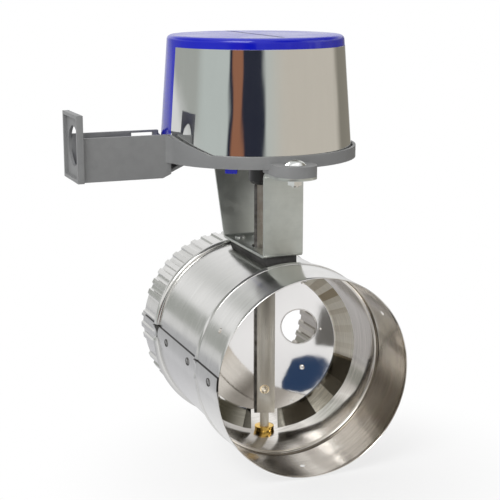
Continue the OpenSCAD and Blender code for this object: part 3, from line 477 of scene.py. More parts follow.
# Finishes.
def blank(name):
    """A material with nothing but its output node."""
    m = bpy.data.materials.new(name)
    m.use_nodes = True
    t = m.node_tree
    t.nodes.clear()
    return m, t, t.nodes.new("ShaderNodeOutputMaterial")


def fresh(name):
    """A material with its shader and its object coordinates."""
    m, t, out = blank(name)
    shader = t.nodes.new("ShaderNodeBsdfPrincipled")
    t.links.new(shader.outputs[0], out.inputs[0])
    at = t.nodes.new("ShaderNodeTexCoord").outputs["Object"]
    return m, t, shader, at


def bump(tree, shader, height, distance):
    n = put(tree, "ShaderNodeBump", {"Height": height, "Distance": distance, "Strength": 1.0})
    tree.links.new(n.outputs[0], shader.inputs["Normal"])


MADE = {}


def once(build):
    """A finish that is built at its first use and shared after that."""
    def get(*args):
        key = build.__name__
        if key not in MADE:
            MADE[key] = build(*args)
        return MADE[key]
    return get


def metal(name, colour, rough, stretch, tone=0.10, wear=0.35, marks=60.0, shade_heights=None):
    """Sheet or bar metal with its grain, smudges, scratches and rubbed edges; shade_heights gives the
    channel's painted shade.
    """
    m, t, s, at = fresh(name)
    grain = rolled(t, at, stretch)
    mark = handled(t, at, 22.0, marks)
    base = blend(t, grain, rgba(colour, 1 - tone), rgba(colour, 1 + tone))
    if shade_heights:
        base = channel_shade(t, at, base, shade_heights)
    base = blend(t, mul(t, mark["Scratch"], 0.2), base, rgba(colour, 1.25))
    base = blend(t, worn(t, at, wear), base, rgba(colour, 1.3))
    r = add(t, span(t, grain, 0.3, 0.7, rough - 0.05, rough + 0.06), mul(t, mark["Smudge"], 0.08))
    r = add(t, r, mul(t, mark["Scratch"], 0.08), clamp=True)
    fill(t, s, {"Base Color": base, "Roughness": r, "Metallic": 0.4 if shade_heights else 1.0})
    bump(t, s, sub(t, grain, mul(t, mark["Scratch"], 0.15)), 0.00002)
    return m


def channel_shade(tree, at, base, shade_heights):
    """Painted shade on the shaft channel: darker upwards between two heights, with a painted shadow along its
    left edge.
    """
    x, y, z = parts(tree, at)
    base = blend(tree, span(tree, z, shade_heights[0], shade_heights[1], 0.0, 0.8), base, (0.16, 0.135, 0.10, 1))
    turn = -settings().blade.turn
    across = sub(tree, mul(tree, x, cos(turn)), mul(tree, sub(tree, y, SHAFT_Y), sin(turn)))
    return blend(tree, span(tree, across, -0.0060, -0.0065), base, (0.05, 0.045, 0.04, 1))


@once
def stainless(c):
    """Rolled duct sheet, brushed round the duct, warmer inside, with painted dark reflections and shade
    inside and a painted shadow line at the lap.
    """
    m, t, s, at = fresh("duct_stainless")
    ring = use(t, turned_grain(), {
        "Vector": at, "Normal": at.node.outputs["Normal"], "Rear": c.crimp_start, "Collar": c.bead_front,
        "Seam End": c.crimp_start + 0.03, "Seam": 2 * pi - c.seam_at - c.seam_arc - 0.004})
    mark = handled(t, at, 19.0, 55.0)
    brushed = span(t, ring["Grain"], 0.3, 0.7)
    outer = blend(t, brushed, rgba(c.steel, 0.92), rgba(c.steel, 1.06))
    inner = blend(t, brushed, rgba(c.inside, 0.76), rgba(c.inside, 1.07))
    inner = blend(t, mul(t, mark["Smudge"], 0.25), inner, rgba(c.inside, 0.72))
    # Painted dark reflections and shade inside the duct.
    inner = blend(t, mul(t, ring["Burnish"], 0.9), inner, rgba(c.painted_shade_colour))
    base = blend(t, ring["Inside"], outer, inner)
    base = blend(t, mul(t, mark["Scratch"], 0.2), base, rgba(c.steel, 1.2))
    base = blend(t, worn(t, at, 0.4), base, rgba(c.steel, 1.35))
    # Painted shadow under the edge of the lap and on its end at the rim.
    base = blend(t, mul(t, ring["Gap"], 0.9), base, (0.02, 0.018, 0.016, 1))
    r = add(t, span(t, ring["Grain"], 0.3, 0.7, 0.09, 0.17), mul(t, ring["Band"], 0.05))
    r = add(t, r, mul(t, mark["Smudge"], 0.05))
    fill(t, s, {"Base Color": base, "Roughness": r, "Metallic": 1.0})
    bump(t, s, sub(t, ring["Grain"], mul(t, mark["Scratch"], 0.15)), 0.000011)
    return m


@once
def mirror_steel(c):
    """Polished blade; the pressed flange is painted bright above and dark brown below, as painted light and
    shade.
    """
    m, t, s, at = fresh("blade_stainless")
    grain = rolled(t, at, (180, 30, 60))
    mark = handled(t, at, 22.0, 60.0)
    base = blend(t, grain, rgba(c.steel, 0.97), rgba(c.steel, 1.03))
    base = blend(t, mul(t, mark["Smudge"], 0.10), base, rgba(c.steel, 0.8))

    # Reach and turn are measured in the plane of the blade.
    xyz = parts(t, at)
    across, up = maths(t, "DIVIDE", xyz[0], cos(c.turn)), xyz[2]
    reach = maths(t, "SQRT", add(t, mul(t, across, across), mul(t, up, up)))
    turn = maths(t, "ARCTAN2", up, across)
    flange = span(t, reach, c.flat_radius, c.flat_radius + 0.0006)
    above = span(t, turn, -0.22, -0.12)
    rings = noise(t, point(t, mul(t, turn, 2.0), mul(t, reach, 2200.0)), 1.0, 3.0, Roughness=0.7)
    # Painted light and shade: the flange is bright above and dark brown below.
    pressed = blend(t, span(t, rings, 0.35, 0.65), blend(t, above, rgba(c.shaded_flange, 0.6), rgba(c.lit_flange, 0.8)),
                    blend(t, above, rgba(c.shaded_flange), rgba(c.lit_flange)))
    # Painted shade on the facets: each facet is darkened by its own level, most on the lower flange.
    tilt = put(t, "ShaderNodeAttribute", attribute_name="facet_tone").outputs["Fac"]
    tilt = maths(t, "POWER", tilt, add(t, 1.0, above))
    deep = add(t, span(t, above, 0, 1, 0.85, 0.0), span(t, turn, 0.35, 0.62, 0.25, 0.75))
    shade = blend(t, above, (0.05, 0.045, 0.035, 1), (0.30, 0.22, 0.11, 1))
    pressed = blend(t, mul(t, tilt, deep), pressed, shade)

    base = blend(t, flange, base, pressed)
    base = blend(t, worn(t, at, 0.35), base, rgba(c.steel, 1.25))
    r = add(t, span(t, grain, 0.3, 0.7, 0.025, 0.065), mul(t, mark["Smudge"], 0.02))
    r = add(t, r, mul(t, flange, span(t, turn, -0.22, -0.12, 0.10, 0.38)))
    bare = sub(t, 1.0, mul(t, mul(t, flange, above), 0.9))
    fill(t, s, {"Base Color": base, "Roughness": r, "Metallic": bare})
    bump(t, s, add(t, grain, mul(t, mul(t, rings, flange), 3.0)), 0.00001)
    return m


@once
def bar_steel(c):
    # The shaft channel carries painted shade between these heights.
    return metal("shaft_bar_steel", c.bar, 0.27, (900, 900, 14), tone=0.22, wear=0.12, shade_heights=(-0.045, 0.06))


@once
def rivet_steel(c):
    return metal("rivet_steel", c.bar, 0.15, (60, 60, 60), tone=0.05)


@once
def mark_painted_shade():
    """Painted shade: a dark finish for the shadowed outline of a pressed mark."""
    return metal("pressed_groove", (0.12, 0.115, 0.11), 0.42, (200, 200, 200))


@once
def galvanised(c):
    """Zinc coated strip with its spangle and faint rolling lines."""
    m, t, s, at = fresh("galvanised_sheet")
    tone = use(t, zinc_spangle(), {"Vector": at, "Scale": 150.0})["Tone"]
    mark = handled(t, at, 30.0, 45.0)
    lines = rolled(t, at, (30, 420, 420))
    base = blend(t, tone, rgba(c.zinc, 0.93), rgba(c.zinc, 1.07))
    base = blend(t, span(t, lines, 0.3, 0.7, 0.0, 0.5), base, rgba(c.zinc, 0.86))
    base = blend(t, mul(t, mark["Scratch"], 0.3), base, rgba(c.zinc, 1.3))
    base = blend(t, worn(t, at, 0.6), base, rgba(c.zinc, 1.35))
    r = add(t, span(t, tone, 0.0, 1.0, 0.32, 0.46), mul(t, mark["Smudge"], 0.08))
    fill(t, s, {"Base Color": base, "Roughness": r, "Metallic": 1.0})
    bump(t, s, add(t, tone, lines), 0.00002)
    return m


def plastic(name, colour, rough, grain=1400.0, depth=0.00004, wear=0.25, dust=0.08, coat=0.0):
    """Moulded plastic with its grain, dust and rubbed edges."""
    m, t, s, at = fresh(name)
    skin = use(t, moulded_skin(), {"Vector": at, "Scale": grain})
    mark = handled(t, at, 18.0, 40.0)
    base = blend(t, skin["Height"], rgba(colour, 0.93), rgba(colour, 1.07))
    base = blend(t, mul(t, skin["Dust"], dust), base, (0.55, 0.54, 0.52, 1))
    base = blend(t, mul(t, worn(t, at, wear), 0.5), base, rgba([0.5 * v + 0.25 for v in colour]))
    r = add(t, span(t, skin["Dust"], 0, 1, rough, rough + 0.10), mul(t, mark["Scratch"], 0.08), clamp=True)
    fill(t, s, {"Base Color": base, "Roughness": r, "Coat Weight": coat, "Coat Roughness": 0.06})
    bump(t, s, skin["Height"], depth)
    return m


@once
def tray_plastic(c):
    return plastic("tray_grey", c.plastic, 0.42, depth=0.00005)


@once
def cap_plastic(c):
    return plastic("cap_blue", c.plastic, 0.16, depth=0.00001, dust=0.0, wear=0.0)


@once
def groove_painted_shade():
    """A dark strip that fills the groove in the cap, as painted shade for its shadowed walls."""
    return plastic("cap_groove_blue", (0.002, 0.002, 0.012), 0.8, depth=0.00003, dust=0.0, wear=0.0)


@once
def foil(c):
    """Bare reflective foil, a little wavy where it is stuck down."""
    m, t, s, at = fresh("label_foil")
    grain = rolled(t, at, (240, 240, 16))
    mark = handled(t, at, 24.0, 50.0)
    wave = noise(t, scaled(t, at, (1.0, 1.0, 0.25)), 34.0, 2.0)
    base = blend(t, grain, rgba(c.foil, 0.95), rgba(c.foil, 1.03))
    base = blend(t, mul(t, mark["Smudge"], 0.12), base, rgba(c.foil, 0.86))
    r = add(t, span(t, grain, 0.3, 0.7, 0.03, 0.06), mul(t, mark["Smudge"], 0.03))
    fill(t, s, {"Base Color": base, "Roughness": r, "Metallic": 1.0})
    bump(t, s, wave, 0.0008)
    return m


# Mesh helpers.
UPRIGHT, LENGTHWISE = Matrix.Identity(4), Matrix.Rotation(pi / 2, 4, "X")


def piece(name, mesh, body, material, *nodes):
    """Puts a mesh in the scene as a piece that rides a body and stands for some CAD nodes."""
    old = bpy.data.objects.get(name)
    if old:
        bpy.data.objects.remove(old)
    ob = work_object(name, mesh)
    mesh.materials.clear()
    mesh.materials.append(material)
    if nodes:
        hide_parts(*nodes)
    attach(ob, body)
    return ob


def settle(ob, name, body, material, *nodes):
    """Makes a finished work object a piece."""
    me = ob.data
    bpy.data.objects.remove(ob)
    me.name = name
    return piece(name, me, body, material, *nodes)


def grid_mesh(name, rings, closed=True):
    """A skin through rings of points; the rings form a closed loop when closed is set."""
    n, k = len(rings), len(rings[0])
    verts = [p for ring in rings for p in ring]
    faces = []
    for i in range(n if closed else n - 1):
        a, b = i * k, ((i + 1) % n) * k
        for j in range(k):
            j2 = (j + 1) % k
            faces.append((a + j, a + j2, b + j2, b + j))
    if not closed:
        faces.append(tuple(range(k)))
        faces.append(tuple(reversed(range((n - 1) * k, n * k))))
    me = bpy.data.meshes.new(name)
    me.from_pydata(verts, [], faces)
    me.validate()
    outward(me)
    return me


def outward(me):
    """Turns the faces of a closed mesh outwards."""
    bm = bmesh.new()
    bm.from_mesh(me)
    bmesh.ops.recalc_face_normals(bm, faces=bm.faces)
    bm.to_mesh(me)
    bm.free()


def smooth(me, degrees):
    """Smooth shading, with the edges over an angle kept sharp."""
    me.shade_smooth()
    bm = bmesh.new()
    bm.from_mesh(me)
    lim = radians(degrees)
    for e in bm.edges:
        e.smooth = not (len(e.link_faces) == 2 and e.calc_face_angle(0) > lim)
    bm.to_mesh(me)
    bm.free()


def cylinder(bm, r, depth, at, segments=48, way=UPRIGHT):
    """A cylinder round a middle; way turns it from upright."""
    bmesh.ops.create_cone(bm, cap_ends=True, segments=segments, radius1=r, radius2=r, depth=depth,
                          matrix=Matrix.Translation(at) @ way)


def block(bm, at, size, lean=0.0):
    """A box, leaned about the way of the duct."""
    bmesh.ops.create_cube(bm, size=1, matrix=Matrix.Translation(at) @ Matrix.Rotation(lean, 4, "Y")
                          @ Matrix.Diagonal((*size, 1)))


def lathe(bm, profile, matrix, segments=48):
    """A closed turned solid from (radius, height) pairs that start and end on the axis."""
    turns = [2 * pi * i / segments for i in range(segments)]
    rings = [[bm.verts.new(matrix @ Vector((r * cos(a), r * sin(a), h))) for a in turns]
             for r, h in profile[1:-1]]
    low = bm.verts.new(matrix @ Vector((0, 0, profile[0][1])))
    high = bm.verts.new(matrix @ Vector((0, 0, profile[-1][1])))
    made = []
    for i in range(segments):
        j = (i + 1) % segments
        made.append(bm.faces.new((low, rings[0][j], rings[0][i])))
        for a, b in zip(rings, rings[1:]):
            made.append(bm.faces.new((a[i], a[j], b[j], b[i])))
        made.append(bm.faces.new((high, rings[-1][i], rings[-1][j])))
    bmesh.ops.recalc_face_normals(bm, faces=made)


def mesh_of(name, bm):
    """Turns a working mesh into a stored one."""
    me = bpy.data.meshes.new(name)
    bm.to_mesh(me)
    bm.free()
    return me


def work_object(name, data):
    """A new object in the scene."""
    ob = bpy.data.objects.new(name, data)
    bpy.context.scene.collection.objects.link(ob)
    return ob


def cut(ob, bm):
    """Takes the solids in bm away from ob."""
    bmesh.ops.recalc_face_normals(bm, faces=bm.faces)
    me = mesh_of("cutter", bm)
    tool = work_object("cutter", me)
    mod = ob.modifiers.new("cut", "BOOLEAN")
    mod.operation, mod.solver, mod.object = "DIFFERENCE", "EXACT", tool
    bake(ob)
    bpy.data.objects.remove(tool)
    bpy.data.meshes.remove(me)


def bake(ob):
    """Applies the modifiers of ob."""
    deps = bpy.context.evaluated_depsgraph_get()
    deps.update()
    me = bpy.data.meshes.new_from_object(ob.evaluated_get(deps))
    ob.modifiers.clear()
    old = ob.data
    ob.data = me
    me.name = ob.name
    bpy.data.meshes.remove(old)


def bevelled(me, width, segments, degrees):
    """The mesh with its sharp edges rounded."""
    ob = work_object("round_work", me)
    mod = ob.modifiers.new("round", "BEVEL")
    mod.width = width
    mod.segments = segments
    mod.limit_method = "ANGLE"
    mod.angle_limit = radians(degrees)
    mod.use_clamp_overlap = True
    bake(ob)
    me = ob.data
    bpy.data.objects.remove(ob)
    return me


def join(me, extra):
    """The mesh with a closed solid added to it."""
    ob, tool = work_object("join_work", me), work_object("join_tool", extra)
    mod = ob.modifiers.new("join", "BOOLEAN")
    mod.operation, mod.solver, mod.object = "UNION", "EXACT", tool
    bake(ob)
    me = ob.data
    bpy.data.objects.remove(ob)
    bpy.data.objects.remove(tool)
    return me


def rounded_copy(name, node, width, segments, degrees, extras=()):
    """A copy of a CAD node's mesh, with solids added and its edges rounded."""
    bm = bmesh.new()
    bm.from_mesh(frame["nodes"][node].data)
    bmesh.ops.remove_doubles(bm, verts=bm.verts, dist=1e-6)
    bmesh.ops.dissolve_limit(bm, angle_limit=radians(0.6), verts=bm.verts, edges=bm.edges)
    me = mesh_of(name, bm)
    for extra in extras:
        me = join(me, extra)
    me = bevelled(me, width, segments, degrees)
    me.name = name
    return me


def rounded_piece(name, node, body, material, width, segments, degrees, extras=()):
    ob = piece(name, rounded_copy(name, node, width, segments, degrees, extras), body, material, node)
    smooth(ob.data, 30)
    return ob


def ramp(v, a, b):
    """A smooth rise from 0 at a to 1 at b."""
    t = min(max((v - a) / (b - a), 0.0), 1.0)
    return t * t * (3 - 2 * t)


# The duct.
SCREW_ANGLES = (30, 150, 270)
CRIMP_RUN = 0.0035
CLINCH_WIRE = 0.00032
WIDE_FLUTE_AT, WIDE_FLUTE_HALF = radians(164), radians(4.6)
CRUSH_AT, CRUSH_HALF, CRUSH = radians(182), radians(4.5), 0.75


def duct_radius(c, a, y):
    """Outside radius of the duct at an angle and a station, without the lap and the crimps."""
    r = c.radius + c.flare * (1 - ramp(y, c.bead_front - COLLAR_RUN, c.bead_front))
    for bead in (c.bead_front, c.bead_back):
        d = abs(y - bead) / c.bead_reach
        if d < 1:
            off = abs(a - CRUSH_AT) / CRUSH_HALF
            crush = CRUSH * (1 - off * off) if off < 1 else 0.0
            top = c.radius + c.bead_rise * (1 - crush)
            r = max(r, r + (top - r) * sqrt(max(0.0, 1 - d ** 2.2)))
    return r


def duct_stations(c):
    """Where the rings of the duct's skin lie, close together at the beads, the crimps and the rims."""
    ys = [0.0, 0.0002, 0.0006, 0.004, 0.012, 0.02, 0.03, 0.038]
    for bead in (c.bead_front, c.bead_back):
        ys += [bead + c.bead_reach * sin(pi / 2 * k / 8) for k in range(-8, 9)]
        ys += [bead - c.bead_reach * 1.25, bead + c.bead_reach * 1.25]
    mid = (c.bead_front + c.bead_back) / 2
    ys += [mid + 0.012 * k for k in range(-3, 4)]
    ys += [c.crimp_start + CRIMP_RUN * k / 6 for k in range(0, 7)]
    ys += [c.crimp_start + 0.008 + 0.006 * k for k in range(0, 4)]
    ys += [PIPE_END - 0.0022, PIPE_END - 0.0006, PIPE_END - 0.0002, PIPE_END]
    return sorted(y for y in ys if y <= PIPE_END)


def duct_rings(c):
    """Rings of points down the outside of the duct and back up its inside."""
    lap_end = c.seam_at + c.seam_arc
    facets = c.crimps * 10
    angles = sorted({2 * pi * i / facets for i in range(facets)} | {lap_end - 0.0008, lap_end + 0.0008})
    ys = duct_stations(c)
    hem = 0.0003
    pulls = {ys[0]: hem, ys[-1]: hem, ys[1]: hem * 0.35, ys[-2]: hem * 0.35}

    def ring(y, inner):
        pull = pulls.get(y, 0.0)
        pts = []
        for a in angles:
            r = duct_radius(c, a, y)
            if c.seam_at < a < lap_end and not inner:
                r += c.seam_rise * ramp(a, c.seam_at, c.seam_at + 0.55 * c.seam_arc)
            r += (-c.wall + pull) if inner else -pull
            pts.append((r * cos(a), y, -r * sin(a)))
        return pts

    return [ring(y, False) for y in ys] + [ring(y, True) for y in reversed(ys)]


def push_out(g, geometry, at, way, distance):
    """Moves points along their radius; way is (1, 0, 1) for outwards and (-1, 0, -1) for inwards."""
    flat = scaled(g, at, way)
    unit = vector(g, "NORMALIZE", {0: flat})
    move = vector(g, "SCALE", {0: unit, 3: distance})
    return geo(g, "GeometryNodeSetPosition", {"Geometry": geometry, "Offset": move})


def press_crimps(g, i):
    """Flat-bottomed flutes round the outlet, two of them wide, beside the seam."""
    at = geo(g, "GeometryNodeInputPosition")
    x, y, z = parts(g, at)
    turn = maths(g, "ARCTAN2", mul(g, z, -1.0), x)
    turns = mul(g, maths(g, "DIVIDE", turn, 2 * pi), i["Crimps"])
    t = maths(g, "FRACT", add(g, turns, i["Crimps"]))
    flute = span(g, absolute(g, sub(g, t, 0.5)), 0.30, 0.19)
    near = absolute(g, sub(g, absolute(g, turn), i["Wide At"]))
    wide = span(g, near, i["Wide Half"], sub(g, i["Wide Half"], 0.02))
    run = span(g, y, i["Start"], add(g, i["Start"], i["Run"]), smooth=True)
    push = mul(g, mul(g, most(g, flute, wide), run), i["Depth"])
    return push_out(g, i["Geometry"], at, (-1, 0, -1), push)


def clinch_row(g, i):
    """A row of pressed marks: an oval ring with a bar across, laid on the duct in a dark finish as painted
    shade for each mark's outline.
    """
    row = {"Count": i["Marks"], "Start Location": i["First"], "Offset": i["Step"]}
    line = geo(g, "GeometryNodeMeshLine", row, mode="OFFSET")
    at = geo(g, "GeometryNodeInputPosition")
    flared = span(g, parts(g, at)[1], i["Collar"], sub(g, i["Collar"], 0.001))
    line = push_out(g, line, at, (1, 0, 1), mul(g, flared, i["Flare"]))
    ring = geo(g, "GeometryNodeCurvePrimitiveCircle", {"Resolution": 28, "Radius": i["Radius"]})
    ring = geo(g, "GeometryNodeTransform", {"Geometry": ring, "Scale": (1.0, 1.25, 1.0)})
    wire = geo(g, "GeometryNodeCurvePrimitiveCircle", {"Resolution": 8, "Radius": i["Wire"]})
    ring = geo(g, "GeometryNodeCurveToMesh", {"Curve": ring, "Profile Curve": wire})
    long = mul(g, i["Radius"], 2.1)
    bar = geo(g, "GeometryNodeMeshCylinder", {"Vertices": 8, "Radius": i["Wire"], "Depth": long})
    bar = geo(g, "GeometryNodeTransform", {"Geometry": bar, "Rotation": (0.0, pi / 2, 0.0)})
    mark = put(g, "GeometryNodeJoinGeometry", {0: ring})
    g.links.new(bar, mark.inputs[0])
    made = geo(g, "GeometryNodeInstanceOnPoints",
               {"Points": line, "Instance": mark.outputs[0], "Rotation": i["Lean"]})
    made = geo(g, "GeometryNodeRealizeInstances", {0: made})
    return geo(g, "GeometryNodeSetShadeSmooth", {"Geometry": made})


class DAMPER_OT_duct(bpy.types.Operator):
    """Rolls the duct: collar, beads, lap seam, crimps, clinch marks and holes"""
    bl_idname = "damper.duct"
    bl_label = "Duct"

    def execute(self, context):
        c = settings().duct
        ob = work_object("duct_work", grid_mesh("duct_shell", duct_rings(c)))
        grow(ob, "crimp_press", {
            "Crimps": (VAL, float(c.crimps)), "Depth": (VAL, c.crimp_depth), "Start": (VAL, c.crimp_start),
            "Run": (VAL, CRIMP_RUN), "Wide At": (VAL, WIDE_FLUTE_AT), "Wide Half": (VAL, WIDE_FLUTE_HALF)},
            stainless(c), press_crimps)
        bm = bmesh.new()
        cylinder(bm, SHAFT_HOLE, 0.012, (0, SHAFT_Y, c.radius))
        cylinder(bm, BUSHING_HOLE, 0.012, (0, SHAFT_Y, -c.radius))
        for x, y in RIVET_SPOTS:
            cylinder(bm, RIVET_HOLE, 0.012, (x, y, c.radius), 24)
        for a in SCREW_ANGLES:
            p = Vector((cos(radians(a)), 0, sin(radians(a)))) * c.radius
            way = p.to_track_quat("Z", "Y").to_matrix().to_4x4()
            cylinder(bm, c.hole_radius, 0.009, p + Vector((0, c.hole_in, 0)), 28, way)
        cut(ob, bm)
        ob = settle(ob, "duct_shell", "housing", stainless(c), "vent_pipe")
        smooth(ob.data, 28)

        # The clinch marks are dark rings and bars, painted shade for their pressed outlines.
        r = c.radius + c.seam_rise + 0.00005
        a = c.clinch_angle
        ob = work_object("clinch_work", bpy.data.meshes.new("clinch_work"))
        grow(ob, "clinch_row", {
            "Marks": (INT, 3), "Radius": (VAL, c.clinch_radius), "Wire": (VAL, CLINCH_WIRE),
            "Flare": (VAL, c.flare), "Collar": (VAL, c.bead_front),
            "First": (VEC, (-r * cos(a), c.clinch_first, r * sin(a))),
            "Step": (VEC, (0.0, c.clinch_pitch, 0.0)), "Lean": (VEC, (0.0, -pi / 2 + a, 0.0))},
            mark_painted_shade(), clinch_row)
        settle(ob, "clinch_marks", "housing", mark_painted_shade())
        return {"FINISHED"}


# The blade and its shaft.

# Angle where a facet of the flange starts, and its tilt, in degrees.
FACETS = [(-180, 0.5), (-166, -3), (-150, 4), (-128, -2), (-104, 3), (-76, -4), (-54, 6), (-38, -7),
          (-27, 3), (-9.7, 4), (-4, -5), (0, 6), (4.5, -3), (8, 5), (13, -6), (17, 4), (22, -4), (26, 7),
          (31, -5), (35, 3), (41, -6), (46, 5), (52, -3), (58, 5), (66, -4), (76, 2), (104, -3), (122, 4),
          (140, -4), (160, 2), (180, 0)]
STEP_FROM, STEP_TO = -9.7, 76
BLADE_RIVET_HOLE = 0.00205
SLOT_AT, SLOT_SIZE, SLOT_LEAN = (0.0324, 0.005, 0.051), (0.0056, 0.02, 0.0016), radians(-35)

# Across, height, ball radius and depth of the two dimples.
DIMPLES = ((0.0315, -0.0224, 0.0042, 0.0006), (0.0465, 0.0105, 0.002, 0.0004))

# Radius and height round the flat head of a blade rivet.
RIVET_HEAD = [(0, 0), (0.004, 0), (0.004, 0.0003), (0.0034, 0.0009), (0.002, 0.00115), (0, 0.0012)]


def facet(a):
    """Start, end and tilt of the flange facet at an angle in degrees."""
    for (a0, tilt), (a1, _) in zip(FACETS, FACETS[1:]):
        if a0 <= a < a1:
            return a0, a1, radians(tilt)
    return FACETS[-2][0], 180, 0.0


def blade_rings(c, front):
    """Rings of points over the front of the blade and back over its rear."""
    radii = [0.012, 0.028, 0.044, 0.054, 0.0575, 0.059, c.flat_radius, 0.0600, 0.0606, 0.0618, 0.065, 0.068,
             0.071, 0.0726, c.radius - 0.0002, c.radius]
    marks = [a for a, _ in FACETS[:-1]]
    angles = sorted({-180 + i for i in range(360)} | {a + 0.25 for a in marks} | {a - 0.25 for a in marks})
    crown_from = 0.045

    def height(r, deg, back):
        y = front + (c.wall if back else 0)
        y -= c.crown * max(0.0, (r - crown_from) / (c.radius - crown_from)) ** 2
        if r > c.flat_radius:
            f = (r - c.flat_radius) / (c.radius - c.flat_radius)
            y -= c.cone * f
            turn = (deg + 180) % 360 - 180
            a0, a1, tilt = facet(turn)
            y += tilt * radians(turn - (a0 + a1) / 2) * r * ramp(f, 0.0, 0.12)
            if STEP_FROM < deg < STEP_TO:
                y -= c.step * ramp(f, 0.0, 0.15)
        return y

    return [[(r * cos(radians(a)), height(r, a, back), r * sin(radians(a))) for a in angles]
            for back, order in ((False, radii), (True, radii[::-1])) for r in order]


def hole_lip(bm, c, front, around=96, sides=10):
    """The raised edge of the bypass hole."""
    rings = []
    for p in (2 * pi * i / around for i in range(around)):
        ring = []
        for q in (2 * pi * j / sides for j in range(sides)):
            r = c.hole_radius + 0.0004 + 0.0005 * cos(q)
            y = front + 0.0001 + 0.00055 * sin(q)
            ring.append(bm.verts.new((c.hole_x + r * cos(p), y, c.hole_z + r * sin(p))))
        rings.append(ring)
    new = []
    for a, b in zip(rings, rings[1:] + rings[:1]):
        for j in range(sides):
            k = (j + 1) % sides
            new.append(bm.faces.new((a[j], b[j], b[k], a[k])))
    bmesh.ops.recalc_face_normals(bm, faces=new)


class DAMPER_OT_blade(bpy.types.Operator):
    """Presses the blade: flat disc, faceted flange, bypass hole, slot and marks"""
    bl_idname = "damper.blade"
    bl_label = "Blade"

    def execute(self, context):
        c, d = settings().blade, settings().drive
        front = d.bar_depth / 2 + 0.00005
        ob = work_object("blade_work", grid_mesh("damper_blade", blade_rings(c, front), closed=False))
        bm = bmesh.new()
        for s in (-1, 1):
            block(bm, (0, 0, s * (c.flat_radius - 0.001 + 0.02)), (2 * c.notch, 0.06, 0.04))
        for z in (-d.rivet_low, d.rivet_high):
            cylinder(bm, BLADE_RIVET_HOLE, 0.02, (0, 0.005, z), 24, LENGTHWISE)
        cylinder(bm, c.hole_radius, 0.02, (c.hole_x, 0.005, c.hole_z), 96, LENGTHWISE)
        block(bm, SLOT_AT, SLOT_SIZE, SLOT_LEAN)
        for x, z, r, deep in DIMPLES:
            bmesh.ops.create_uvsphere(bm, u_segments=32, v_segments=20, radius=r,
                                      matrix=Matrix.Translation((x, front - r + deep, z)))
        cut(ob, bm)
        bm = bmesh.new()
        bm.from_mesh(ob.data)
        hole_lip(bm, c, front)
        bm.to_mesh(ob.data)
        bm.free()
        smooth(ob.data, 12)

        # Each facet carries a level of painted shade of its own for the finish.
        shade_levels = ob.data.attributes.new("facet_tone", "FLOAT", "FACE")
        starts = [a for a, _ in FACETS]
        for k, face in enumerate(ob.data.polygons):
            deg = atan2(face.center.z, face.center.x) * 180 / pi
            shade_levels.data[k].value = starts.index(facet(deg)[0]) * 37 % 11 / 10
        ob.data.transform(Matrix.Translation((0, SHAFT_Y, 0)) @ Matrix.Rotation(c.turn, 4, "Z"))
        settle(ob, "damper_blade", "blade_shaft", mirror_steel(c), "blade")
        return {"FINISHED"}


def rivet_cup(bm, d, z):
    """A pressed cup before the channel and a flat head behind the blade."""
    ball = (d.cup_radius ** 2 + d.cup_depth ** 2) / (2 * d.cup_depth)
    cup = [(0, d.cup_depth)]
    for k in range(1, 13):
        r = d.cup_radius * k / 12
        cup.append((r, sqrt(ball ** 2 - r * r) - ball + d.cup_depth - 0.00003))
    back, rim = d.cup_depth + 0.0003, d.cup_radius + 0.0001
    upright = Matrix.Rotation(-pi / 2, 4, "X")
    lathe(bm, [(0, back), (rim, back), (rim, 0.00002)] + cup[::-1],
          Matrix.Translation((0, -d.bar_depth / 2, z)) @ upright)
    lathe(bm, RIVET_HEAD, Matrix.Translation((0, d.bar_depth / 2 + 0.0009, z)) @ upright)


class DAMPER_OT_shaft(bpy.types.Operator):
    """Rolls the shaft channel, presses its rivet cups and turns the bushing"""
    bl_idname = "damper.shaft"
    bl_label = "Shaft and bushing"

    def execute(self, context):
        d = settings().drive
        brass = frame["nodes"]["lower_bushing"].material_slots[0].material
        rounded_piece("shaft_channel", "shaft_bar", "blade_shaft", bar_steel(d), 0.0004, 2, 50)
        rounded_piece("pin_tongue", "shaft_pin", "blade_shaft", bar_steel(d), 0.0003, 2, 50)
        rounded_piece("bushing_turned", "lower_bushing", "housing", brass, 0.0003, 2, 40)
        bm = bmesh.new()
        for z in (-d.rivet_low, d.rivet_high):
            rivet_cup(bm, d, z)
        me = mesh_of("rivet_cups", bm)
        me.transform(Matrix.Translation((0, SHAFT_Y, 0)) @ Matrix.Rotation(settings().blade.turn, 4, "Z"))
        ob = piece("rivet_cups", me, "blade_shaft", rivet_steel(d), "blade_rivets")
        smooth(ob.data, 40)
        return {"FINISHED"}


def foil_gap(c, x, y):
    """A wedge that parts the foil where it begins."""
    bm = bmesh.new()
    corners = [(r * cos(c.foil_at + radians(a)), r * sin(c.foil_at + radians(a)))
               for r, a in ((0.06, -6), (0.06, 0), (0.09, 0), (0.09, -6))]
    low, high = ([bm.verts.new((x + px, y + py, z)) for px, py in corners] for z in (0.14, 0.26))
    bm.faces.new(low)
    bm.faces.new(high[::-1])
    for k in range(4):
        bm.faces.new((low[k], high[k], high[(k + 1) % 4], low[(k + 1) % 4]))
    return bm


